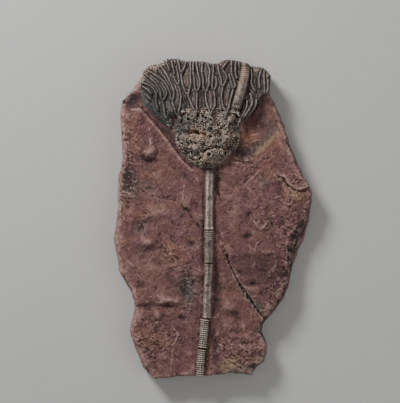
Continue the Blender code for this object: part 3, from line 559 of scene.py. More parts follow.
def split_siltstone():
    """Siltstone split along its bedding: red-brown iron oxide in clay and silt, dead matt,
    paler and pinker where tools scuffed it and where highlights are painted on its crests and
    humps, near black in its cracks and hollows from dirt and painted shade, and flecked where
    small grains have come out. Its colour drifts over 55 and 16 mm, with mottles of 7.5 mm.
    Silt is finer than 0.06 mm, too fine to show, so its grit is drawn at 2 mm and its flecks,
    taken as under a millimetre, at 2.6 mm."""
    tree = started("split_siltstone")
    colour, _ = grained(tree, None, [(0.32, "#5b4041"), (0.46, "#70504f"), (0.56, "#7b5650"),
                                     (0.68, "#86605d")], 55, detail=4)
    colour, _ = grained(tree, colour, [(0.38, "#7e515a"), (0.5, "#735150"), (0.62, "#875f4d")], 16,
                        0.4, detail=3)
    colour, patchy = grained(tree, colour, [(0.30, "#4f3939"), (0.50, "#745250"),
                                            (0.70, "#8f6a63")], 7.5, 0.4, detail=6)
    # The dark and pale stains carry painted shadows and painted highlights as well.
    colour = layered(tree, colour, [
        ("rust", 0.2, 1.5, "#93654f"), ("grey", 0.2, 1.2, "#5d564f"), ("tan", 0.15, 1.2, "#9c8469"),
        ("pale", 0.2, 1.4, "#9b7c73"), ("dark", 0.2, 1.4, "#38282b")], patchy)
    colour, grit = grained(tree, colour, [(0.30, "#a39e9b"), (0.5, "#dcd9d7"), (0.72, "#ffffff")],
                           2.0, 0.6, "MULTIPLY", 3)
    colour, flecks = grained(tree, colour, [(0.36, "#98908d"), (0.46, "#ffffff")], 2.6, 0.35,
                             "MULTIPLY", 4, (0.55, 1, 1))
    colour = layered(tree, colour, [("rough", 0.72, 1.25, "#b9a38d")], grit)
    colour = layered(tree, colour, [("rough", 0.74, 1.25, "#5a4543")], flecks)
    colour = layered(tree, colour, [("scratch", 0.15, 1.3, "#a98e86")], grit)
    # Painted shade in hollows and crevices, and painted highlights on humps and crests; the finer pair
    # stands for dirt and rubbing as well.
    colour = layered(tree, colour, [
        ("painted_broad_shade", 0.46, 0.05, "#3c2a2c"), ("painted_broad_shade", 0.58, 1.5, "#a48179"),
        ("wear_and_painted_shade", 0.45, 0.0, "#2c2021"), ("wear_and_painted_shade", 0.60, 1.6, "#b3978d")])
    return finished("split_siltstone", colour, (0.82, 0.97),
                    [(patchy, 0.4, 1.0), (flecks, 0.5, 0.6), (grit, 0.7, 0.4)], 0.3)


def scratches(xs, ys):
    """1 on the fine pale lines that cleaning points leave, 0 between them."""
    rng = random.Random(8)
    found = np.zeros(xs.shape)
    for line in LONG_SCORES:
        found = np.maximum(found, np.exp(
            -(along_lines(xs, ys, line) / LONG_SCORE_HALF_WIDTH) ** 2))
    for cx, cy, along, across in SCORED:
        for _ in range(SCORES_EACH):
            x, y = cx + along * rng.uniform(-1, 1), cy + across * rng.uniform(-1, 1)
            turn = math.radians(rng.choice([55, 62, 118, 140]) + rng.uniform(-10, 10))
            half = rng.uniform(4, 11)
            dx, dy = half * math.cos(turn), half * math.sin(turn)
            bow = rng.uniform(-1, 1)
            line = [(x - dx, y - dy), (x - bow, y + bow), (x + dx, y + dy)]
            found = np.maximum(found, rng.uniform(0.4, 0.7) * np.exp(
                -(along_lines(xs, ys, line) / SCORE_HALF_WIDTH) ** 2))
    return found * ramp(0.5 + 2 * grain(xs, ys, 6.0, 58.0, 2))


def broken_wall(upper_plan, upper_level, ring, level, inward):
    """Rows of points down the wall from one outline to the next: raw stone with its bedding."""
    rows = max(2, round((upper_level.mean() - level) / WALL_STEP))
    made = []
    for row in range(1, rows + 1):
        share = row / rows
        place = upper_plan + (ring - upper_plan) * share
        height = upper_level + (level - upper_level) * share
        rough = np.array([
            noise.fractal(Vector((x / 11, y / 11, h / 4.5)), 0.6, 2.0, 4)
            for (x, y), h in zip(place, height)
        ])
        bedding = np.array([noise.noise(Vector((x / 60, y / 60, h / 2.2)))
                            for (x, y), h in zip(place, height)])
        # How far the break stands in here. At the sawn back it is straight.
        depth = (1.0 + 1.5 * rough + 1.1 * bedding) * (1.0 if level or row < rows else 0.0)
        made.append(np.column_stack([place + inward * depth[:, None], height]))
    return made


def slab_masks(points):
    """The slab's stains and scuffs, with painted shadows and highlights among them. Its walls are
    greyer, more so on the right, with painted shade on the right and painted light on the left."""
    masks = marks_at(points, SLAB_STAINS_AND_PAINTED_LIGHT)
    xs, ys, zs = points.T
    side = ramp((WALL_COLOUR_TOP - zs) / 2.5)
    right = ramp((xs - RIGHT_WALL_FROM) / WALL_SPREAD)
    masks["grey"] += side * (0.45 + 0.75 * right)
    # Painted shade on the right walls, painted light on the left ones.
    masks["dark"] += 0.7 * side * right
    masks["pale"] += 0.9 * side * ramp((LEFT_WALL_FROM - xs) / WALL_SPREAD)
    masks["rough"] = np.clip(0.1 + 0.6 * blots(xs, ys, SLAB_ROUGH), 0, 0.8)
    masks["scratch"] = scratches(xs, ys) * (1 - side)
    return masks


def make_slab():
    """The slab's mesh: the cleaned face, rows of broken wall and the sawn back."""
    rng = np.random.default_rng(6)
    plan = [(x, y) for x, y, _ in SLAB_OUTLINE]
    insets = [inset for *_, inset in SLAB_OUTLINE]
    counts = side_counts(plan, WALL_STEP)
    waist = subdivided(plan, counts)
    top = subdivided(inset_outline(plan, insets), counts)
    shoulder = subdivided(inset_outline(plan, [0.5 * inset for inset in insets]), counts)
    back = subdivided(inset_outline(plan, [BACK_INSET] * len(plan)), counts)
    inward = -waist / np.linalg.norm(waist, axis=1)[:, None]
    chips = ramp(0.5 + 1.6 * grain(*waist.T, 9.0, 21.0, 4))
    top = top + inward * (EDGE_CHIP * chips * rng.uniform(0.5, 1.0, len(top)))[:, None]
    inside = points_inside(top, SLAB_GRID, 0.7 * SLAB_GRID, 9)
    flat, faces = face_triangles(top, inside)
    xs, ys = flat.T
    edge = along_lines(xs, ys, [*map(tuple, top[::3]), tuple(top[0])])
    worn = ramp(0.5 + 1.5 * grain(xs, ys, 14.0, 30.0, 3))
    rise = slab_face(xs, ys) - EDGE_DROP * (1 - ramp(edge / 3.0))
    rise -= EDGE_WEAR * (1 - ramp(edge / 9.0)) * worn
    points = [np.column_stack([xs, ys, rise])]
    upper_plan, upper_level = top, rise[:len(top)]
    last = np.arange(len(top))
    for level, ring in [(SHOULDER_HEIGHT, shoulder), (WAIST_HEIGHT, waist), (0.0, back)]:
        for row in broken_wall(upper_plan, upper_level, ring, level, inward):
            current = sum(len(p) for p in points) + np.arange(len(top))
            points.append(row)
            faces.extend(zip(last.tolist(), np.roll(last, -1).tolist(),
                             np.roll(current, -1).tolist(), current.tolist()))
            last = current
        upper_plan, upper_level = ring, np.full(len(top), level)
    faces.append(tuple(last[::-1].tolist()))
    points = np.vstack(points)
    return make_piece("matrix_stone", points, faces, [split_siltstone()], slab_masks(points),
                      (5, 70), (0.55, 1.7))


slab = make_slab()
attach(slab, "root")
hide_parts("matrix_slab")

# ==== The bed of pinnules ====================================================================
# Between the arms lie their thousands of side branches, pinnules of fine calcite threads,
# pressed flat in dark clay. Deeper arms show among them as dull strands.

BED_GRID = 0.7              # spacing of its points
MAT_BASE_RISE = 12.0        # its height over the slab by the cup
MAT_TIP_RISE = 6.5          # and by the arms' tips
MAT_LENGTH = 62.0           # how far up the fan it has sunk to that
MAT_EDGE = 5.0              # width of its rounded edge
MAT_EDGE_SHARE = 0.55       # how much of its height is left at the very edge
LEFT_FLANK = 12.0           # widths of the slopes down to the slab on its two sides
RIGHT_FLANK = 5.0
BED_SINK = 1.1              # how far the clay between the arms lies below the CAD node's top
ROOT_DEPTH = 6              # how far the bed and the cup reach down into the slab
FAN_APEX = (-8, 20)         # where the grooves of the fan would meet
# The lower edge of the fan, where the cup's crust of plates reaches over the arms.
CRUST_LINE = [(-50, 117), (-46, 123), (-37, 129), (-26, 130), (-4, 129),
              (19, 130), (29, 129), (36, 121), (43, 126), (49, 133)]
CALYX_LINE = [(-48, 124), (-45, 128), (-37, 132), (-26, 133), (-16, 132.5), (-4, 131.5),
              (6, 133.5), (19, 132.5), (29, 131), (35, 123.5)]
MAT_RIM = [(35.6, 118.5), (41, 122), (47.5, 128), (53, 134.5), (57, 141), (60, 147), (64, 149.5),
           (71, 153.5), (70.8, 165), (72.2, 178.6), (68, 184.2), (61.5, 188.8), (47.6, 190.4),
           (34.6, 196.4), (23, 198.4), (14.4, 198.4), (5.3, 193.9), (-3.3, 193.9), (-11.4, 196.4),
           (-34.2, 196.4), (-46.9, 200.3), (-55.4, 198.5), (-65.6, 193.4), (-78.4, 191.4),
           (-84.7, 186.9), (-88.5, 179.5), (-90.5, 170), (-91, 160), (-89.5, 150), (-87, 140),
           (-79, 131.5), (-66, 119.5), (-56, 110.5), (-48.5, 113)]
LEFT_SIDE = MAT_RIM[-7:] + CALYX_LINE[:1]
RIGHT_SIDE = MAT_RIM[:8]

# The arms from left to right, each piece from its base to its tip.
ARMS = {
    "arm_01": [(-76.5, 154), (-79, 158), (-83, 161.5), (-88.5, 165)],
    "arm_02": [(-68, 134.5), (-70, 141), (-71, 147), (-70.5, 153), (-72, 158), (-75.5, 162.6),
               (-80, 166), (-88, 169)],
    "arm_03_stem": [(-60.5, 132.5), (-61, 138), (-62.5, 144), (-62.5, 147)],
    "arm_03_left": [(-64.5, 149.5), (-65, 153), (-66, 159), (-70, 166), (-76, 173), (-85, 180)],
    "arm_03_right": [(-60, 150), (-58, 154.5), (-57.8, 158), (-60.5, 163), (-65, 169.5)],
    "arm_04_stem": [(-45.8, 130.8), (-48, 136.5), (-50, 142), (-51, 146.5)],
    "arm_04_left": [(-52.8, 149.5), (-53.2, 155), (-56, 162), (-60.5, 169.5), (-70, 177.5),
                    (-81.5, 184)],
    "arm_04_right": [(-49.2, 150), (-48.5, 157), (-51, 164), (-54, 171.5), (-59, 181),
                     (-66.4, 191.5)],
    "arm_05_stem": [(-42.5, 134.5), (-41, 139), (-40.5, 146), (-39.7, 152), (-41, 158.5),
                    (-43.5, 166)],
    "arm_05_left": [(-45.7, 169), (-47.5, 173), (-49, 177)],
    "arm_05_right": [(-42.5, 170), (-43, 175.5), (-44, 181.5), (-46, 190)],
    "arm_06_stem": [(-24, 136), (-26.5, 141), (-29.5, 149), (-31.5, 154)],
    "arm_06_left": [(-34.2, 157), (-36.5, 163), (-38.5, 169), (-39.5, 176), (-39.5, 181)],
    "arm_06_left_tip_a": [(-41.3, 184.5), (-42, 190), (-44.6, 198.4)],
    "arm_06_left_tip_b": [(-37.8, 184.5), (-35.5, 189), (-34, 195)],
    "arm_06_right": [(-30, 157.5), (-29.3, 162), (-27.8, 168), (-28.3, 177), (-28, 185),
                     (-28.7, 195)],
    "arm_07_stem": [(-20, 135), (-20.4, 141), (-20, 150), (-20.2, 157.5)],
    "arm_07_left": [(-22.3, 160.8), (-23, 166), (-23.4, 174), (-24.7, 182), (-25, 195)],
    "arm_07_right": [(-18.2, 160.8), (-16.4, 167), (-16.8, 173), (-19, 182), (-21, 195)],
    "arm_08_stem": [(-4.8, 134.5), (-7, 140), (-9, 148), (-9.2, 157.5)],
    "arm_08_left": [(-11, 160.5), (-12.4, 166), (-12.2, 173), (-14, 184), (-13, 195)],
    "arm_08_right": [(-7.2, 160.5), (-5, 168), (-5, 175), (-4.1, 184), (-7, 193)],
    "arm_09_stem": [(-0.4, 135), (2, 140), (2.2, 149), (0.8, 159.5)],
    "arm_09_left": [(-1.1, 163), (-0.8, 170), (-0.2, 178), (0.3, 184), (0, 192.5)],
    "arm_09_right": [(3, 162.5), (4.2, 168), (4, 173), (2.9, 177)],
    "arm_10_stem": [(14, 136), (11.6, 142), (10.5, 152), (11.5, 160), (12, 164)],
    "arm_10_left": [(10.6, 167.5), (10, 174), (7.6, 181), (5.8, 190.5)],
    "arm_10_right": [(14, 167.5), (16.6, 173), (16.6, 178), (13, 183), (11.2, 186.4),
                     (14, 190.5), (19, 196.5)],
    "arm_11_stem": [(18.3, 135.5), (20, 140), (21.5, 148), (23.5, 155), (25, 161.5)],
    "arm_11_left": [(23.8, 165), (21.5, 172.5), (19.5, 180)],
    "arm_11_right": [(27.6, 165), (26, 172), (23, 182), (23, 196.6)],
    "arm_12": [(29.7, 174), (27.8, 183), (28.3, 195.6)],
    "arm_13": [(52.5, 158), (49, 164.5), (47.3, 170), (48.2, 177), (47, 188.5)],
    "arm_14": [(58, 161.5), (57, 170), (57.5, 177), (60.6, 187.3)],
    "arm_15": [(64, 154.5), (64, 163), (63.5, 172), (63.6, 184.5)],
    "arm_16": [(66.8, 156.5), (68.2, 163), (68, 174)],
    "arm_17": [(46, 131), (50, 136), (53.2, 142), (53.6, 148.5)],
    "arm_18": [(38, 125.2), (43, 133), (47.5, 140.5), (48.6, 146), (47.2, 152), (45.6, 156)],
    "arm_19": [(38.5, 131.5), (41.5, 138), (42.5, 147)],
    "arm_20": [(-48.6, 179), (-48.8, 184), (-50.2, 189), (-52, 197)],
    "arm_21": [(-54, 184), (-55.5, 188.5), (-58.6, 195)],
}

# Where the arms come out of the cup, before the pieces above begin.
ARM_ROOTS = {
    "arm_03_stem": [(-57, 124), (-60, 128)],
    "arm_04_stem": [(-41, 121), (-42.5, 127)], "arm_05_stem": [(-40, 123), (-42.5, 129.5)],
    "arm_06_stem": [(-25, 122), (-22.5, 132.5)], "arm_07_stem": [(-21, 121), (-22, 128)],
    "arm_08_stem": [(-7, 122), (-4.4, 133)], "arm_09_stem": [(-6, 119), (-3.5, 128)],
    "arm_10_stem": [(14.5, 124), (15.6, 134)], "arm_11_stem": [(13, 118), (15.2, 127)],
    "arm_17": [(40, 122), (43, 128)], "arm_18": [(30, 113), (35, 121)],
    "arm_19": [(31, 117), (35.5, 126)],
}

# Slender branches too fine to be freed one by one: curls and bundles in the bed.
FINE_BRANCHES = [
    [(-66, 190), (-60, 183), (-56, 178)], [(-64.5, 194), (-58.5, 187), (-54, 180)],
    [(-61, 197), (-55.5, 190), (-51.5, 182)], [(-57, 199), (-52.5, 192), (-50, 185)],
    [(-52.5, 199), (-50.5, 193), (-48, 187)], [(-82, 157), (-78, 152), (-74, 149.5), (-73, 146)],
    [(-84.5, 153), (-80, 148), (-76, 146)], [(-86, 160.5), (-82, 156.5), (-77, 155.5)],
    [(-79, 176), (-72, 169), (-67, 163)], [(-82, 184.5), (-75, 179), (-69, 173), (-64, 167)],
    [(-74, 186), (-67, 180), (-61, 173), (-58, 166)], [(-69, 189), (-62, 182), (-57, 174)],
    [(34, 124), (39, 131), (42, 139), (42, 147)], [(42, 128), (47, 135), (50.5, 142), (51, 150)],
    [(44.5, 152), (44, 160), (43, 168), (43.5, 176)], [(51, 150), (51, 158), (53.5, 166), (53, 176)],
    [(55.5, 149), (56, 157), (60.5, 164), (61, 176)], [(60, 152), (61, 160), (60.5, 170)],
    [(33.5, 132), (37, 140), (38.5, 148)], [(49, 128), (54, 136), (57.5, 144)],
    [(-35, 136), (-37, 146), (-37.5, 156), (-36.5, 164)], [(-33, 138), (-34, 148), (-34.5, 158)],
    [(6, 138), (5.5, 148), (5, 158), (6.5, 168)], [(-14, 138), (-14.5, 148), (-14, 158)],
    [(27, 136), (28.5, 146), (30.5, 154)], [(33.5, 176), (33.5, 186), (34, 195)],
]

# Whole lines of the fan, from the cup to the rim, that the deeper strands run between.
FAN_LINES = [
    [(-60, 117), (-72, 127), (-82, 138), (-86, 146)],
    [(-60, 122), (-75, 138), (-80, 150), (-87, 158)],
    [(-55, 124), (-70, 141), (-71.5, 153), (-76, 163), (-86, 169)],
    [(-50, 126), (-61, 138), (-63.5, 150), (-68, 164), (-84, 179)],
    [(-46, 129), (-51, 146), (-54, 158), (-64, 173), (-80, 183)],
    [(-44, 130), (-49.5, 148), (-50, 162), (-58, 179), (-66, 191)],
    [(-41, 132), (-40.5, 146), (-41, 160), (-46, 176), (-56, 196)],
    [(-36, 133), (-38, 148), (-38, 164), (-43, 180), (-45, 197)],
    [(-25, 134), (-31, 152), (-37, 164), (-39.5, 180), (-36, 194)],
    [(-23, 134), (-29, 150), (-28.5, 164), (-28, 178), (-28.5, 193)],
    [(-20, 134), (-20, 150), (-22.5, 164), (-24, 178), (-25, 194)],
    [(-19, 134), (-19, 150), (-17, 164), (-17.5, 178), (-20.6, 194)],
    [(-6, 133), (-9, 148), (-12, 164), (-13, 178), (-13, 193)],
    [(-4, 133), (-8, 148), (-6, 164), (-4.6, 178), (-5.6, 191)],
    [(0, 133), (2, 148), (-1, 164), (0, 178), (0, 191)],
    [(4, 134), (4, 148), (3.5, 164), (3.5, 178), (4, 191)],
    [(13, 135), (10.5, 150), (11, 164), (9, 178), (6, 188)],
    [(15, 135), (11.5, 150), (13, 164), (16, 178), (18, 196)],
    [(19, 134), (22, 150), (24, 164), (20, 180), (20, 196)],
    [(22, 134), (23, 150), (27, 164), (24, 180), (23, 196)],
    [(26, 133), (29, 150), (31, 164), (28.5, 180), (28.5, 195)],
    [(32, 131), (38, 148), (42, 164), (42, 178), (41, 191)],
    [(36, 125), (44, 142), (49, 160), (48, 176), (47, 188)],
    [(38, 122), (48, 138), (54, 156), (53.5, 170), (54, 187)],
    [(42, 125), (53, 140), (58, 158), (57, 172), (60, 187)],
    [(48, 131), (57, 145), (64, 158), (63.5, 172), (65, 183)],
    [(56, 144), (62, 150), (68, 158), (68.5, 168), (69, 178)],
]
STRANDS_BETWEEN = 2
STRAND_HALF_WIDTH = 0.6
BRANCH_HALF_WIDTH = 0.95
LINE_POINTS = 16            # points on a line of the fan as the strands take it


def bed_height(xs, ys):
    """Top of the pressed bed, as its CAD node has it: highest at the cup, lower to the tips."""
    along = np.clip((ys - CALYX_LINE[0][1]) / MAT_LENGTH, 0, 1)
    rise = MAT_BASE_RISE + (MAT_TIP_RISE - MAT_BASE_RISE) * along
    rim = along_lines(xs, ys, [CALYX_LINE[-1], *MAT_RIM, CALYX_LINE[0]])
    rise = rise * (MAT_EDGE_SHARE + (1 - MAT_EDGE_SHARE) * ramp(rim / MAT_EDGE))
    return SLAB_THICKNESS + rise + 0.8 * lumps(xs, ys, 26, 9.4)


def crown_level(xs, ys):
    """The same, but with its two flanks running down to the slab's face."""
    left = along_lines(xs, ys, LEFT_SIDE) / LEFT_FLANK
    right = along_lines(xs, ys, RIGHT_SIDE) / RIGHT_FLANK
    share = ramp(0.2 + 0.8 * left) * ramp(0.25 + 0.75 * right)
    face = slab_base(xs, ys)
    return face + (bed_height(xs, ys) - face) * share


def spread(line, step):
    """Points along a smooth curve through a chain of points, about a step apart."""
    ends = np.array([line[0], *line, line[-1]], float)
    made = []
    for a, b, c, d in zip(ends, ends[1:], ends[2:], ends[3:]):
        count = max(1, round(math.dist(b[:2], c[:2]) / step))
        for t in np.arange(count) / count:
            made.append(0.5 * (2 * b + (c - a) * t + (2 * a - 5 * b + 4 * c - d) * t ** 2
                               + (3 * b - a - 3 * c + d) * t ** 3))
    made.append(ends[-1])
    return np.array(made)


def tube(route, across, up, sides, turn=0.0):
    """Points and faces of a closed tube: its route, half widths and half heights."""
    along = np.gradient(route, axis=0)
    along /= np.linalg.norm(along, axis=1)[:, None]
    side = np.cross(along, (0, 0, 1))
    side /= np.linalg.norm(side, axis=1)[:, None]
    top = np.cross(side, along)
    angles = turn + 2 * math.pi * np.arange(sides) / sides
    points = (route[:, None, :]
              + np.cos(angles)[None, :, None] * (side * across[:, None])[:, None, :]
              + np.sin(angles)[None, :, None] * (top * up[:, None])[:, None, :]).reshape(-1, 3)
    faces = []
    for ring in range(len(route) - 1):
        for k in range(sides):
            j = (k + 1) % sides
            low = ring * sides
            faces.append((low + k, low + j, low + sides + j, low + sides + k))
    faces.append(tuple(range(sides))[::-1])
    faces.append(tuple((len(route) - 1) * sides + k for k in range(sides)))
    return points, faces


def joined(parts):
    """Points and faces of several meshes put together in one."""
    points = []
    faces = []
    for part_points, part_faces in parts:
        start = sum(len(p) for p in points)
        points.append(part_points)
        faces.extend(tuple(start + k for k in face) for face in part_faces)
    return np.vstack(points), faces


def relief(outline, spacing, seed, height, floor_level, step):
    """A modelled patch of stone: its top over an outline, and walls down into the slab."""
    ring = subdivided(outline, side_counts(outline, step))
    area = np.sum(ring[:, 0] * np.roll(ring[:, 1], -1) - ring[:, 1] * np.roll(ring[:, 0], -1))
    if area < 0:
        ring = ring[::-1]
    flat, faces = face_triangles(ring, points_inside(ring, spacing, 0.6 * spacing, seed))
    points = np.column_stack([flat, height(*flat.T)])
    count = len(ring)
    foot = np.column_stack([flat[:count], np.full(count, floor_level)])
    base = len(points)
    for k in range(count):
        j = (k + 1) % count
        faces.append((j, k, base + k, base + j))
    faces.append(tuple(base + k for k in range(count))[::-1])
    return np.vstack([points, foot]), faces


def knobs(xs, ys):
    """Weathered plates of calcite: ridges, domes of all heights, and pits between them."""
    warp = 2.4 * grain(xs, ys, 7.0, 19.0, 3)
    ridged = 1 - 2.8 * np.abs(grain(xs + warp, ys - warp, 6.5, 12.0, 5, 0.8))
    near = cells(xs + warp, ys - warp, 4.2, 15.0)
    tall = np.clip(0.3 + 1.5 * grain(xs, ys, 10.0, 16.0, 2), 0.0, 1.2)
    domes = tall * np.sqrt(np.clip(1 - (near / 0.75) ** 2, 0, 1))
    crisp = 0.65 + 0.7 * ramp(0.6 + 1.8 * grain(xs, ys, 15.0, 25.0, 2))
    z = crisp * (1.6 * ridged + 1.1 * domes) - 1.4 + 2.2 * grain(xs, ys, 14.0, 29.0, 2)
    return z + 1.9 * crisp * grain(xs - warp, ys + warp, 6.0, 23.0, 5, 0.82)


def chalky_plates(tree):
    """Colour of the cup's calcite: chalky pink-grey, paler on the knobs with painted highlights,
    black-brown between them with dirt and painted shade, with painted shadow in some dark
    patches, and drifting over 14 mm. Its pores are hundredths of a millimetre wide, too fine to
    show, so its grain is drawn at 1.4 mm. Gives the grain as well."""
    colour, broad = grained(tree, None, [(0.34, "#575352"), (0.48, "#796c63"), (0.64, "#9c8272")],
                            14)
    colour, fine = grained(tree, colour, [(0.30, "#968f88"), (0.64, "#ffffff")], 1.4, 0.5,
                           "MULTIPLY", 4)
    colour = layered(tree, colour, [
        ("rust", 0.1, 1.0, "#8a684c"), ("grey", 0.1, 1.0, "#5b5d5b"),
        ("tan", 0.1, 1.0, "#a68f7e")], broad)
    # Painted shade and dirt between the knobs, painted highlights on them, and dark patches that are
    # partly painted shadow.
    colour = layered(tree, colour, [
        ("painted_broad_shade", 0.48, 0.0, "#3a2f2b"), ("painted_broad_shade", 0.60, 1.2, "#a59383"),
        ("wear_and_painted_shade", 0.46, 0.02, "#241c19"), ("wear_and_painted_shade", 0.62, 1.2, "#c9b8a8"),
        ("dark", 0.1, 1.7, "#3a322e")])
    return colour, fine


def pressed_clay():
    """Clay and crushed pinnules packed between the arms: dark grey-brown in patches of 9 mm,
    with a silky grain up the fan, warmer where iron has stained it, near black beside the arms
    with painted shade, darker in crevices from dirt and painted shade, paler on crests with
    painted highlights, and crusted with plates by the cup. Its threads are a few tenths of a
    millimetre thick, too fine to show, so the grain is drawn 1.5 mm across and about 7 mm long."""
    tree = started("pressed_clay")
    colour, silky = grained(tree, None, [(0.34, "#4d4340"), (0.52, "#6f625d"), (0.70, "#958980")],
                            1.5, detail=4, stretch=(1.0, 0.22, 1.0))
    colour, patchy = grained(tree, colour, [(0.32, "#8f8985"), (0.62, "#ffffff")], 9, 0.75,
                             "MULTIPLY")
    # beside: painted shade along the arms.
    colour = layered(tree, colour, [
        ("rust", 0.1, 1.1, "#6f5750"), ("grey", 0.1, 0.9, "#494948"), ("tan", 0.25, 0.9, "#7f6a5f"),
        ("beside", 0.3, 1.5, "#2b2421")], patchy)
    # Painted shade and dirt in crevices, painted highlights and rubbing on crests.
    colour = layered(tree, colour, [("wear_and_painted_shade", 0.43, 0.02, "#221c1a"), ("wear_and_painted_shade", 0.58, 1.1, "#b5aba1")])
    plates = add(tree, "ShaderNodeAttribute", attribute_name="plates").outputs["Fac"]
    crusted = add(tree, "ShaderNodeMapRange", {"From Min": 0.2, "From Max": 0.8}, {"Value": plates})
    colour = add(tree, "ShaderNodeMix", links={0: crusted.outputs["Result"], 6: colour,
                                               7: chalky_plates(tree)[0]}, data_type="RGBA")
    return finished("pressed_clay", colour.outputs[2], (0.75, 0.92), [(silky, 0.6, 0.5)], 0.35)


BED_STAINS = {
    "rust": [(25, 150, 5, 8, 0, 0.8), (-22, 138, 12, 5, 0, 0.5), (20, 186, 9, 8, 0, 0.5),
             (-58, 190, 8, 6, 0, 0.4), (-68, 165, 6, 8, 40, 0.4), (60, 150, 10, 6, 0, 0.8),
             (-10, 136, 14, 4, 0, 0.6), (-45, 165, 10, 14, 0, 0.7), (-5, 160, 8, 14, 0, 0.6),
             (12, 145, 8, 8, 0, 0.8), (-33, 176, 6, 12, 0, 0.5), (14, 190, 10, 6, 0, 0.6)],
    "tan": [(-78, 187, 12, 6, 15, 1.3), (-66, 191, 8, 4, 0, 0.8), (66, 180, 5, 7, 0, 0.8),
            (54, 186, 5, 4, 0, 0.6), (-88, 176, 4, 10, 0, 1.0)],
    "grey": [(-78, 141, 10, 9, -45, 1.0), (-60, 120, 9, 6, -45, 1.2), (50, 134, 5, 14, -40, 0.8),
             (-84, 150, 8, 8, 0, 0.6), (-45, 128, 6, 5, 0, 0.8), (-10, 131, 7, 5, 0, 0.8),
             (48, 172, 5, 12, 0, 0.8), (56, 165, 8, 8, 0, 0.5), (-70, 152, 20, 28, 30, 1.2),
             (-58, 121, 12, 7, -45, 0.8)],
}


def grown_line(node):
    """An arm's whole line: from its root in the cup, or from the fork that it grew out of."""
    stem = node.rsplit("_", 1)[0] + "_stem"
    limb = node.rsplit("_tip", 1)[0]
    if limb != node:
        return [ARMS[limb][-1], *ARMS[node]]
    if stem != node and stem in ARMS:
        return [ARMS[stem][-1], *ARMS[node]]
    return [*ARM_ROOTS.get(node, []), *ARMS[node]]


def near_arms(xs, ys):
    """Distance in plan from the nearest arm."""
    tree = search_tree(np.vstack([spread(grown_line(node), 0.7) for node in ARMS]))
    return np.array([tree.find((x, y, 0))[2] for x, y in zip(xs, ys)])


def by_the_cup(xs, ys):
    """1 where the bed is crusted with the cup's plates, in a ragged band above its line."""
    above = along_lines(xs, ys, CRUST_LINE) + 4.0 * grain(xs, ys, 8.0, 61.0, 3)
    return 1 - ramp((above - 4.5) / 5.0)


def bed_top(xs, ys):
    """The bed between the arms: silky grooves along the fan, and lumps where it is tan."""
    turn = np.arctan2(xs - FAN_APEX[0], ys - FAN_APEX[1])
    reach = np.hypot(xs - FAN_APEX[0], ys - FAN_APEX[1])
    z = crown_level(xs, ys) - BED_SINK
    foot = np.minimum(along_lines(xs, ys, LEFT_SIDE), along_lines(xs, ys, RIGHT_SIDE))
    z -= 3.0 * (1 - ramp(foot / 2.2))
    flank = np.clip((z - SLAB_THICKNESS) / 5, 0, 1)
    z += flank * 0.55 * grain(turn * 95, reach / 9, 1.1, 7.0, 3)
    z += 0.6 * grain(xs, ys, 8.0, 17.0, 4)
    z += flank * 0.3 * grain(xs, ys, 2.2, 27.0, 3, 0.7)
    z -= flank * 0.9 * np.exp(-((near_arms(xs, ys) - 2.0) / 0.9) ** 2)
    lumpy = np.clip(blots(xs, ys, BED_STAINS["tan"]), 0, 1)
    near = cells(xs, ys, 3.4, 6.0)
    z += lumpy * (1.2 + 2.6 * (1 - ramp(near / 0.7)) + 1.6 * grain(xs, ys, 3.0, 37.0, 3))
    plates = by_the_cup(xs, ys)
    return z + plates * (0.9 * knobs(xs, ys) + 0.6)


def strand(line, half_width, rng):
    """A thin rod along a line, lying in the bed."""
    route = spread(line, 1.0)
    along = np.arange(len(route))
    route[:, 0] += 0.5 * grain(route[:, 1], along * 0.0, 9.0, rng.uniform(0, 90), 2)
    level = crown_level(*route.T) - 0.7 + 0.5 * grain(*route.T, 9.0, rng.uniform(0, 90), 2)
    wide = half_width * rng.uniform(0.8, 1.25) * (0.88 + 0.12 * np.cos(along * 2.9))
    wide[-1] *= 0.5
    return tube(np.column_stack([route, level]), wide, wide, 6)


def make_bed():
    """The bed's body with its deeper strands, one mesh."""
    rng = random.Random(12)
    outline = [*reversed(CALYX_LINE), *reversed(MAT_RIM)]
    parts = [relief(outline, BED_GRID, 4, bed_top, SLAB_THICKNESS - ROOT_DEPTH, 0.9)]
    shares = np.linspace(0, 1, LINE_POINTS)
    for left, right in zip(FAN_LINES, FAN_LINES[1:]):
        sides = []
        for line in (left, right):
            route = spread(line, 12)
            sides.append(np.column_stack([
                np.interp(shares, np.linspace(0, 1, len(route)), c) for c in route.T]))
        for k in range(STRANDS_BETWEEN):
            share = (k + 0.5 + rng.uniform(-0.2, 0.2)) / STRANDS_BETWEEN
            line = sides[0] + (sides[1] - sides[0]) * share
            line = line[rng.choice([0, 1, 3]):LINE_POINTS - rng.choice([0, 0, 3])]
            parts.append(strand(line, STRAND_HALF_WIDTH, rng))
    parts.extend(strand(line, BRANCH_HALF_WIDTH, rng) for line in FINE_BRANCHES)
    points, faces = joined(parts)
    xs, ys = points[:, :2].T
    masks = marks_at(points, BED_STAINS)
    masks["plates"] = by_the_cup(xs, ys)
    # Painted shade beside the arms, weaker on the strands.
    masks["beside"] = 1 - ramp((near_arms(xs, ys) - 1.5) / 1.7)
    masks["beside"][len(parts[0][0]):] *= 0.35
    return make_piece("pinnule_bed", points, faces, [pressed_clay()], masks, (3, 25), (0.4, 1.3))


bed = make_bed()
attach(bed, "root")
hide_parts("pinnule_mat")

# ==== The arms and their pinnules ============================================================
# Each arm is a chain of small calcite blocks in two rows, worn pale along its back, with
# painted highlights on its crests, painted shade in its joints and a pinnule from every
# block. Forks are where an arm branched as it grew.

ARM_WIDTH = 2.6
ARM_HEIGHT = 2.5
ARM_TIP = 0.72              # width at the tip, as a share of the base's
ARM_LIFT = 0.7              # height of its middle over the bed
ARM_STEP = 0.42             # spacing of the rings of points along an arm
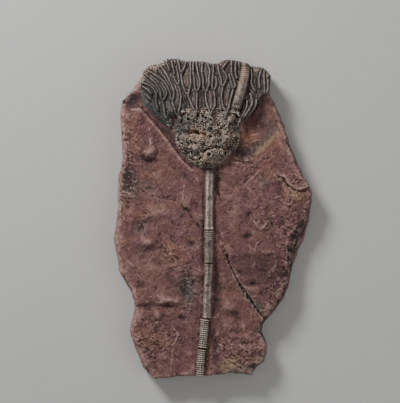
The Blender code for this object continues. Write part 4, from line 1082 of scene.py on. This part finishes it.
# Blocks and threads are taken as finer than a pixel of the render, which covers 1.25 mm, so
# both are spaced as widely as they need to show.
BLOCK_PITCH = 1.6
ARM_STAINS = {
    "dull": [(-70, 150, 22, 26, 30, 1.2), (44, 140, 12, 12, 0, 0.4), (50, 175, 9, 12, 0, 0.6),
             (-47, 186, 8, 8, 0, 0.6), (-18, 148, 24, 12, 0, 0.45)],
    "green": [(4, 166, 12, 16, 0, 0.9), (-84, 166, 12, 12, 0, 0.5), (-46, 146, 8, 12, 0, 0.6),
              (-2, 124, 8, 8, 0, 1.0), (54, 168, 8, 16, 0, 0.7)],
    "rust": [(-66, 168, 8, 6, 40, 0.7), (22, 176, 8, 8, 0, 0.5), (-30, 186, 10, 8, 0, 0.4),
             (-78, 184, 12, 7, 15, 1.2), (-56, 190, 6, 6, 0, 0.5)],
}
PINNULE_PITCH = 2.1
PINNULE_LENGTH = 5.0


def rubbed_calcite():
    """Grey calcite of the arms: satin rather than matt, cream where it is worn smooth and where
    highlights are painted on its crests, with dark clay and painted shade in the joints. Its
    colour drifts over 16 mm. Its pores are hundredths of a millimetre wide, too fine to show, so
    its grain is drawn at 1.2 mm."""
    tree = started("rubbed_calcite")
    colour, broad = grained(tree, None, [(0.32, "#7f7770"), (0.52, "#ada39a"), (0.70, "#cdc3b8")],
                            16, detail=4)
    colour, fine = grained(tree, colour, [(0.32, "#a59f99"), (0.62, "#ffffff")], 1.2, 0.6,
                           "MULTIPLY", 3)
    colour = layered(tree, colour, [
        ("dull", 0.2, 1.3, "#605b56"), ("green", 0.2, 1.2, "#84877f"),
        ("rust", 0.2, 1.1, "#8d765f")], broad)
    colour = layered(tree, colour, [("wear_and_painted_shade", 0.42, 0.0, "#3a322d"), ("wear_and_painted_shade", 0.62, 1.2, "#e2dacd")])
    return finished("rubbed_calcite", colour, (0.55, 0.75), [(fine, 0.4, 0.2)], 0.45)


def threads_of_clay_and_calcite():
    """Pinnules: hair-fine calcite threads, dull with clay, darker in their crevices with clay and
    painted shade. Their own grain is too fine to show, so a noise of 2.5 mm, half a thread's
    length, makes one differ from the next."""
    tree = started("clayed_threads")
    colour, fine = grained(tree, None, [(0.32, "#6b605a"), (0.52, "#938880"), (0.70, "#b8aea4")],
                           2.5, detail=4)
    colour = layered(tree, colour, [("dull", 0.2, 1.3, "#524c48")], fine)
    colour = layered(tree, colour, [("wear_and_painted_shade", 0.42, 0.0, "#2f2824")])
    return finished("clayed_threads", colour, (0.65, 0.85), [(fine, 0.3, 0.2)], 0.4)


def lengths_along(route):
    """How far along a route each of its points is."""
    return np.concatenate([[0], np.cumsum(np.linalg.norm(np.diff(route, axis=0), axis=1))])


def arm_mesh(line, rng):
    """One arm: a beaded rod over the bed, narrower to its tip."""
    route = spread(line, ARM_STEP)
    along = lengths_along(route)
    taper = 1 + (ARM_TIP - 1) * along / along[-1]
    bead = 0.88 + 0.15 * np.abs(np.sin(math.pi * along / BLOCK_PITCH)) ** 0.6
    waver = 1.04 + 0.24 * grain(along, along * 0, 5.0, rng.uniform(0, 99), 3)
    ends = np.sqrt(np.clip(np.minimum(along, along[-1] - along) / 0.8 + 0.15, 0, 1))
    size = rng.uniform(0.86, 1.14) * taper * bead * waver * ends
    level = crown_level(*route.T) + ARM_LIFT + 0.8 * grain(*route.T, 9.0, rng.uniform(0, 99), 3)
    level += 1.6 * by_the_cup(*route.T)
    return tube(np.column_stack([route, level]), size * ARM_WIDTH / 2, size * ARM_HEIGHT / 2, 10)


def pinnules_of(line, rng):
    """The threads from both sides of an arm, lying forward on the bed."""
    route = spread(line, PINNULE_PITCH)
    heading = np.gradient(route, axis=0)
    heading /= np.linalg.norm(heading, axis=1)[:, None]
    made = []
    for (x, y), (hx, hy) in zip(route[:-1], heading[:-1]):
        for hand in (-1, 1):
            lean = hand * math.radians(rng.uniform(22, 40))
            length = PINNULE_LENGTH * rng.uniform(0.6, 1.15)
            shares = np.linspace(0, 1, 6)
            bend = lean * (1 - 0.5 * shares)
            dx = (hx * np.cos(bend) - hy * np.sin(bend)) * length / 5
            dy = (hx * np.sin(bend) + hy * np.cos(bend)) * length / 5
            xs = x - hy * hand * 0.7 + np.concatenate([[0], np.cumsum(dx[1:])])
            ys = y + hx * hand * 0.7 + np.concatenate([[0], np.cumsum(dy[1:])])
            level = crown_level(xs, ys) - 0.5 + 0.5 * rng.random()
            width = 0.46 * (1 - 0.6 * shares)
            made.append(tube(np.column_stack([xs, ys, level]), width, width, 4, 0.78))
    return made


arm_stone = rubbed_calcite()
thread_stone = threads_of_clay_and_calcite()
arm_rng = random.Random(31)
for node in ARMS:
    line = grown_line(node)
    rod = arm_mesh(line, arm_rng)
    threads = joined(pinnules_of(line, arm_rng))
    points, faces = joined([rod, threads])
    slots = [0] * len(rod[1]) + [1] * len(threads[1])
    arm = make_piece(node + "_ossicles", points, faces, [arm_stone, thread_stone],
                     marks_at(points, ARM_STAINS), (2, 8), (0.16, 0.6), slots)
    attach(arm, "root")
    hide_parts(node)

# ==== The calyx ==============================================================================
# The cup of the animal: plates and first arm joints cemented together, weathered to knobs
# with dark pits between them.

CALYX_GRID = 0.52           # spacing of its points
CALYX_RISE = 13.0           # height of the CAD node's dome over the slab
CALYX_EDGE = 18.0           # how far in from its edge it reaches that
CALYX_EDGE_SHARE = 0.18     # how much of it is left at the very edge
CLEFT_DEPTH = 2.6
CLEFT_HALF_WIDTH = 2.2
RING_CENTRE = (-5, 79.5)    # of the small ring with a hole, low on the cup
CALYX_RIM = [(34, 117), (34, 100), (30, 89), (21, 79), (11, 69), (0, 62), (-9, 61), (-16, 62.5),
             (-29, 70), (-36, 79), (-46, 92), (-48, 103), (-52, 112), (-53, 119)]
# Plates that stand out and pits between them: x, y, radius, rise.
CALYX_PLATES = [
    (-38, 122, 5, 2.2), (-27, 124, 5, 2.4), (-15, 123, 5, 2.0), (-2, 124, 5, 2.6),
    (10, 125, 5, 2.2), (22, 123, 5, 2.4), (-33, 113, 5, 2.4), (-8, 113, 6, 2.8),
    (4, 111, 5, 2.2), (18, 111, 6, 2.2), (-40, 101, 5, 2.0), (-28, 98, 6, 2.6),
    (0, 99, 6, 2.8), (14, 96, 6, 2.6), (26, 102, 5, 2.0), (-22, 86, 6, 2.4), (-5, 80, 6, 3.0),
    (10, 82, 6, 2.4), (-12, 71, 5, 2.0), (0, 70, 5, 2.0), (-20, 107, 6, -3.4),
    (-13, 92, 4, -2.6), (-19, 128, 3, -2.6), (27, 93, 4, -2.0), (9, 104, 3.5, -2.4),
]
# Clefts between plates: one below the arms' roots, two by the ring, and three in the crust.
CALYX_CLEFTS = [[(-33, 106), (-22, 107), (-9, 104)], [(-13, 83), (-6, 86.5), (4, 89), (14, 86)],
                [(-12, 78), (-10, 84), (-4, 86)], [(4, 122), (8, 112), (5, 104)], [(-28, 84), (-18, 76)],
                [(19, 131), (28, 131.5), (35, 130)]]
# Where the knobs are flattened: x, y, half lengths, height over the dome, and how far.
CALYX_FLATS = [(26, 125, 8, 3.2, 0.2, 0.6), (-40, 117, 10, 8, -1.5, 0.45)]
# Stains of the cup. Its dark patches are partly painted shadow: where the arms go in at the top, and
# along its lower rim over the stem.
CALYX_STAINS_AND_PAINTED_SHADE = {
    "rust": [(-20, 106, 14, 4, -10, 0.9), (-30, 122, 8, 4, 0, 0.5), (15, 86, 8, 5, 0, 0.5),
             (-5, 128, 12, 4, 0, 0.5)],
    "tan": [(26, 125, 8, 4, -20, 0.8), (-18, 97, 12, 7, 10, 0.9), (-2, 73, 16, 6, 0, 0.7)],
    "dark": [(-41, 116, 13, 11, 0, 1.4), (-34, 78, 5, 12, -40, 0.6), (-2, 63, 14, 3, 0, 0.6),
             (-20, 124, 16, 6, 0, 0.5)],
    "grey": [(-40, 116, 11, 12, 0, 0.9), (-42, 100, 6, 14, 0, 0.4), (30, 110, 6, 14, 0, 0.5),
             (-4, 116, 8, 6, 0, 0.5), (20, 76, 14, 6, 40, 0.5), (0, 66, 12, 4, 0, 0.6),
             (-32, 124, 12, 6, 0, 0.9), (-8, 123, 7, 7, 0, 0.8), (31, 118, 6, 9, 0, 0.8),
             (-34, 76, 5, 14, -40, 0.8)],
}


def calyx_top(xs, ys):
    """Height of the cup: a dome like the CAD node's but lower at its edge, with plates,
    weathered knobs, clefts, and a ring with its hole."""
    ragged = 2.5 * grain(xs, ys, 7.0, 63.0, 3)
    rim = along_lines(xs, ys, [CALYX_LINE[-1], *CALYX_RIM, CALYX_LINE[0]])
    share = CALYX_EDGE_SHARE + (1 - CALYX_EDGE_SHARE) * ramp(
        np.clip(rim + ragged * ramp(rim / 4), 0, None) / CALYX_EDGE)
    dome = slab_base(xs, ys) * (1 - share) + (SLAB_THICKNESS + CALYX_RISE) * share + 1.2
    dome -= (3.4 + 2.0 * grain(xs, ys, 9.0, 67.0, 2)) * (
        1 - ramp(along_lines(xs, ys, CALYX_LINE) / 12.0))
    z = dome.copy()
    for cx, cy, radius, rise in CALYX_PLATES:
        z += rise * np.exp(-((xs - cx) ** 2 + (ys - cy) ** 2) / (0.6 * radius) ** 2)
    z += knobs(xs, ys)
    for cx, cy, wide, tall, lift, share in CALYX_FLATS:
        z += (dome + lift - z) * share * np.exp(-(((xs - cx) / wide) ** 2 + ((ys - cy) / tall) ** 2))
    for line in CALYX_CLEFTS:
        away = along_lines(xs, ys, line) + 1.2 * grain(xs, ys, 5.0, 66.0, 2)
        z -= CLEFT_DEPTH * np.exp(-(away / CLEFT_HALF_WIDTH) ** 2)
    ring = np.hypot(xs - RING_CENTRE[0], ys - RING_CENTRE[1]) + 0.6 * grain(xs, ys, 3.0, 68.0, 2)
    z += (dome - 0.4 - z) * 0.85 * (1 - ramp((ring - 4.6) / 1.6))
    z += 2.4 * np.exp(-((ring - 3.6) / 0.9) ** 2) - 3.0 * np.exp(-(ring / 1.9) ** 2)
    return z - 3.0 * (1 - ramp(rim / 2.4))


def weathered_plates():
    """The cup's plates, dull and rough as old mortar, in the colours of chalky_plates."""
    colour, fine = chalky_plates(started("weathered_plates"))
    return finished("weathered_plates", colour, (0.7, 0.9), [(fine, 0.7, 0.45)], 0.35)


def make_calyx():
    """The cup's mesh, from its edge against the bed of pinnules to its rim on the slab."""
    outline = [*[(x, y + 0.4) for x, y in CALYX_LINE], *CALYX_RIM]
    points, faces = relief(outline, CALYX_GRID, 5, calyx_top, SLAB_THICKNESS - ROOT_DEPTH, 0.8)
    return make_piece("calyx_plates", points, faces, [weathered_plates()],
                      marks_at(points, CALYX_STAINS_AND_PAINTED_SHADE), (6, 45), (0.55, 1.6))


calyx = make_calyx()
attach(calyx, "root")
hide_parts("calyx")

# ==== The stem ===============================================================================
# A stack of calcite discs, broken across in four places as it was buried. Its upper part is
# rubbed nearly smooth, with a dark seam down its back; its lower part keeps sharp rings.

STEM_LIFT = 2.0             # height of its middle over the slab's face
STEM_SIDES = 44
RING_STEP = 0.32            # spacing of the rings of points along it
# Real discs are taken as about half this thick. At that pitch they wouldn't show, because a
# pixel of the render covers 1.25 mm.
DISC_PITCH = 2.6
# From the upper break to the lower one: x, y, diameter; then how deep the rings are cut, how
# wide the seam down its back is, and how strong the painted highlight on its lit side is; less
# of it gives more painted shade.
STEMS = {
    "stem_1": ([(-4, 60.2, 10.6), (-4.4, 42, 11), (-4.5, 24, 11), (-4.9, 4, 10.8),
                (-4.8, -14, 11.8)], 0.35, 0.29, 0.9),
    "stem_2": ([(-4.6, -14.7, 11.4), (-4.7, -28, 11.6), (-4.9, -42, 11.6), (-5, -55.8, 11.2)],
               0.55, 0.28, 0.2),
    "stem_3": ([(-5, -56.6, 11.2), (-5.6, -76, 10.6), (-6.5, -94, 10.8), (-7.2, -110, 11.4),
                (-7.5, -124.6, 11.6)], 0.45, 0.28, 0.45),
    "stem_4": ([(-9.7, -125.3, 11.8), (-10.8, -140, 12), (-12.8, -162, 11.8)], 1.0, 0.16, 0.9),
    "stem_5": ([(-13.4, -162.7, 11.2), (-14.8, -178, 11.5), (-15.8, -196.3, 11.2)], 1.0, 0.14, 0.2),
}
# Holes through the wall into the stem's canal: x, y, half width, depth.
STEM_HOLES = [(-4, 23.8, 1.5, 2.2), (-6.9, -84.4, 1.6, 2.4), (-9.4, -93.8, 1.4, 2.0),
              (-7.0, -66, 1.1, 1.4), (-3.2, -30, 1.0, 1.2), (-8, -108, 1.0, 1.2)]


def ringed_calcite(name, stops):
    """Calcite discs of the stem: grey, with a painted highlight, cream, along the lit side, at the
    broken ends and on the crests of the rings there, with painted shade on the far side and near
    the cup, and dark clay in the seams between discs. Its colour drifts over 12 mm. Its pores are
    hundredths of a millimetre wide, too fine to show, so its grain is drawn at 1.1 mm."""
    tree = started(name)
    colour, broad = grained(tree, None, stops, 12)
    colour, fine = grained(tree, colour, [(0.30, "#968f87"), (0.62, "#ffffff")], 1.1, 0.55,
                           "MULTIPLY", 4)
    # bright and crest: painted highlights on the lit side; shade: painted shade on the far side, with
    # darker streaks in the stone.
    colour = layered(tree, colour, [
        ("rust", 0.1, 1.1, "#93704f"), ("bright", 0.1, 1.25, "#cfbcae"),
        ("shade", 0.1, 1.3, "#645850"), ("crest", 0.05, 0.8, "#dcc8bb")], broad)
    colour = layered(tree, colour, [
        ("joint", 0.2, 0.95, "#38312b"), ("seam", 0.2, 1.1, "#2f2924")], fine)
    colour = layered(tree, colour, [("wear_and_painted_shade", 0.45, 0.0, "#332c26"), ("wear_and_painted_shade", 0.60, 1.3, "#dacdc1")])
    return finished(name, colour, (0.55, 0.8), [(fine, 0.5, 0.3)], 0.4)


def column(line, level_of, ring_depth, seed, seam_at, seam_width, highlight_strength):
    """A length of stem: discs, a wavering seam along its back, worn hollows, ragged ends.
    Angles run from 0 on the left over the back to half a turn on the right, for a line that
    runs down the slab. Gives points, faces and the masks of its finish, painted highlight and
    shade among them."""
    route = spread(line, RING_STEP)
    diameters = route[:, 2]
    plan = route[:, :2]
    along = lengths_along(plan)
    centre = np.column_stack([plan, level_of(*plan.T)])
    points, faces = tube(centre, np.ones(len(route)), np.ones(len(route)), STEM_SIDES)
    turns = np.tile(2 * math.pi * np.arange(STEM_SIDES) / STEM_SIDES, len(route))
    lengths = np.repeat(along, STEM_SIDES)
    hub = np.repeat(centre, STEM_SIDES, axis=0)
    # The discs, and how far each place has kept them.
    wander = 0.5 * grain(lengths, turns * 2, 12.0, seed + 3, 2)
    disc = (lengths + wander) / DISC_PITCH
    rib = np.abs(np.sin(math.pi * disc)) ** (0.6 + 0.9 * ring_depth)
    between = np.abs(np.sin(2 * math.pi * disc)) ** 0.7
    kept = min(0.85, ring_depth)
    fade = kept + (1.15 - kept) * ramp(0.5 + 1.8 * grain(lengths, turns * 4, 8.0, seed + 5, 3))
    radius = np.repeat(diameters / 2, STEM_SIDES)
    halves = max(0, 0.7 - ring_depth)
    aside = (turns - math.pi / 2 - 0.15) / 0.5
    fade *= np.clip(2 * ring_depth - 0.9 + np.exp(-aside ** 2), 0.1, 1)
    radius -= 1.2 * ring_depth * fade * ((1 - rib) + halves * (1 - between))
    # Streaks along it, fine lumps and small pits.
    streaks = grain(lengths / 8, turns * 2.9, 0.9, seed + 11, 3)
    radius += 0.22 * streaks
    radius += 0.32 * grain(lengths, turns * 5, 5.0, seed, 5, 0.7)
    pits = cells(lengths, turns * 5, 6.0, seed + 2)
    radius -= 0.7 * (1 - ramp(pits / 0.2))
    # The seam, at its own angle from the top.
    off = turns - (math.pi / 2 + seam_at + 0.10 * np.sin(lengths / 11 + seed)
                   + 0.15 * grain(lengths, lengths * 0, 5.0, seed + 7, 3))
    seam = min(1, 1.6 - 1.2 * ring_depth) * np.exp(-(off / seam_width) ** 2)
    radius -= 0.75 * seam * (0.35 + 0.65 * fade)
    # Its ends: a lip, and a chipped edge.
    ends = np.minimum(lengths, along[-1] - lengths)
    chipped = 0.5 + 0.6 * grain(turns * 3, lengths * 0, 2.0, seed + 9, 2)
    radius += 0.45 * np.exp(-((ends - 1.6) / 0.8) ** 2)
    radius *= 1 - 0.22 * (1 - ramp(ends / np.maximum(0.2, chipped)))
    points = hub + (points - hub) * radius[:, None]
    # bright is a painted highlight strip left of the top, a weaker one right of it and one round each
    # end's lip; crest lightens the rings' crests on the lit side; shade is painted shade on the far side
    # and all over where the highlight is weak, with streaks of darker stone.
    masks = {
        "seam": seam * (0.5 + 0.5 * fade),
        "bright": highlight_strength * (np.exp(-((turns - math.pi / 2 + 0.5) / 0.34) ** 2)
                            + 0.8 * np.exp(-((turns - math.pi / 2 - 0.6) / 0.3) ** 2)
                            + 0.7 * np.exp(-((ends - 1.6) / 0.9) ** 2)),
        "joint": fade * (1 - rib + halves * (1 - between)) * (0.35 + 0.8 * ring_depth),
        "crest": ramp((rib - 0.55) / 0.4) * (turns < math.pi * 0.75) * max(0, ring_depth - 0.3),
        "shade": 0.6 * (1 - highlight_strength) + 0.5 * streaks + 0.5 * ramp((turns - math.pi / 2 - 0.9) / 0.5)
        * (turns < math.pi * 1.2),
    }
    return points, faces, masks


def make_stem(name, line, ring_depth, seam_width, highlight_strength, seed):
    """One length of the column, sunk nearly to its middle in the slab's face, with holes into its
    canal that are painted dark inside, and painted shade where it meets the cup."""
    def level_of(xs, ys):
        return np.full(xs.shape, SLAB_THICKNESS + STEM_LIFT)
    points, faces, masks = column(line, level_of, ring_depth, seed, 0.06, seam_width, highlight_strength)
    for x, y, half_width, depth in STEM_HOLES:
        away = np.hypot(points[:, 0] - x, (points[:, 1] - y) * 0.8)
        hole = np.exp(-(away / half_width) ** 2) * (points[:, 2] > SLAB_THICKNESS + STEM_LIFT)
        points[:, 2] -= depth * hole
        # Painted shade inside the hole, in the seam's dark colour.
        masks["seam"] = masks["seam"] + 1.2 * hole
    # Near the cup: less painted highlight, and painted shade with the seam's dark colour.
    masks["bright"] *= 1 - 0.8 * ramp((points[:, 1] - 50) / 8)
    masks["shade"] = np.maximum(masks["shade"], ramp((points[:, 1] - 48) / 12))
    masks["seam"] = masks["seam"] + 0.8 * ramp((points[:, 1] - 54) / 6)
    return make_piece(name + "_discs", points, faces, [stem_stone], masks, (3, 14), (0.22, 0.8))


stem_stone = ringed_calcite("ringed_calcite", [(0.32, "#67564f"), (0.50, "#806f68"),
                                               (0.68, "#99877e")])
for seed, (node, values) in enumerate(STEMS.items()):
    stem = make_stem(node, *values, 3.7 * seed + 1)
    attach(stem, "root")
    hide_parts(node)

# ==== The loose length of stem ===============================================================
# A stray piece of another stem that sank onto the crown. Its upper end is stained orange by
# iron and its lower end is hollow.

LOOSE_STEM = [(40.6, 191, 10), (39.8, 180, 11.4), (37.6, 168, 12), (34.8, 157, 12.2),
              (31.4, 147, 12), (28, 136.4, 10.4)]
LOOSE_STEM_LIFT = 1.6       # height of its middle over the bed
LOOSE_HOLLOW = (28.8, 140.3)
HOLLOW_DEPTH = 3.4


def over_the_crown(xs, ys):
    """Where the loose piece's middle lies, over the bed."""
    return bed_height(xs, ys) + LOOSE_STEM_LIFT


points, faces, masks = column(LOOSE_STEM, over_the_crown, 0.5, 40, 0.6, 0.12, 0.35)
above = points[:, 2] > bed_height(*points[:, :2].T)
hollow = np.exp(-(np.hypot(points[:, 0] - LOOSE_HOLLOW[0],
                           (points[:, 1] - LOOSE_HOLLOW[1]) * 1.1) / 2.6) ** 2) * above
points[:, 2] -= HOLLOW_DEPTH * hollow
masks["rust"] = blots(*points[:, :2].T, [(40, 185, 6, 9, 0, 1.1), (37, 173, 3, 9, -10, 0.9),
                                         (33, 160, 2, 8, -15, 0.4)])
# Painted shade inside the hollow end, in the seam's dark colour; no painted highlight where it is rusty;
# and the shade colour over all of it, painted deeper on its far side.
masks["seam"] = 0.6 * masks["seam"] + 1.3 * hollow
masks["bright"] *= 1 - ramp(masks["rust"])
masks["shade"] = 0.45 + 0.6 * masks["shade"]
stained_stone = ringed_calcite("stained_calcite", [(0.32, "#5a504a"), (0.50, "#756960"),
                                                   (0.68, "#8c7e71")])
loose = make_piece("loose_stem_discs", points, faces, [stained_stone], masks, (3, 14),
                   (0.22, 0.8))
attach(loose, "root")
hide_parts("loose_stem_piece")

# ==== Floor, light and camera ================================================================
# A plain pale table, a large soft lamp high on the left and a weak one on the right. The
# camera looks straight down on the fossil.

floor_mesh = bpy.data.meshes.new("floor")
floor_mesh.from_pydata([(-3, -3, 0), (3, -3, 0), (3, 3, 0), (-3, 3, 0)], [], [(0, 1, 2, 3)])
floor = bpy.data.objects.new("floor", floor_mesh)
bpy.context.scene.collection.objects.link(floor)
# Matt paint: an even pale ground with no shine.
paint = bpy.data.materials.new("pale_table")
paint.use_nodes = True
paint.node_tree.nodes["Principled BSDF"].inputs["Base Color"].default_value = from_hex("#b9b9b7")
paint.node_tree.nodes["Principled BSDF"].inputs["Roughness"].default_value = 0.8
floor_mesh.materials.append(paint)


def softbox(name, place, size, watts, aim=(0.0, 0.02, 0.03)):
    """A square area lamp turned to the fossil."""
    data = bpy.data.lights.new(name, "AREA")
    data.size = size
    data.energy = watts
    lamp = bpy.data.objects.new(name, data)
    lamp.location = place
    lamp.rotation_euler = (Vector(aim) - Vector(place)).to_track_quat("-Z", "Y").to_euler()
    bpy.context.scene.collection.objects.link(lamp)


softbox("key_lamp", (-0.85, 1.15, 0.95), 0.45, 34)
softbox("fill_lamp", (1.3, -0.4, 1.4), 1.4, 9)
world = bpy.data.worlds.new("studio")
world.use_nodes = True
world.node_tree.nodes["Background"].inputs["Color"].default_value = from_hex("#ffffff")
world.node_tree.nodes["Background"].inputs["Strength"].default_value = 0.28
bpy.context.scene.world = world

# The camera stands over the middle of the view, which is 0.5 m wide at the slab's face.
CAMERA_HEIGHT = 1.60
CAMERA_PLACE = (-0.01625, 0.02125)
FRAME_WIDTH = 0.500
SENSOR_WIDTH = 36.0
lens = bpy.data.cameras.new("camera")
lens.sensor_fit = "HORIZONTAL"
lens.sensor_width = SENSOR_WIDTH
lens.lens = SENSOR_WIDTH * (CAMERA_HEIGHT - SLAB_THICKNESS * MM) / FRAME_WIDTH
camera = bpy.data.objects.new("camera", lens)
camera.location = (*CAMERA_PLACE, CAMERA_HEIGHT)
bpy.context.scene.collection.objects.link(camera)
bpy.context.scene.camera = camera
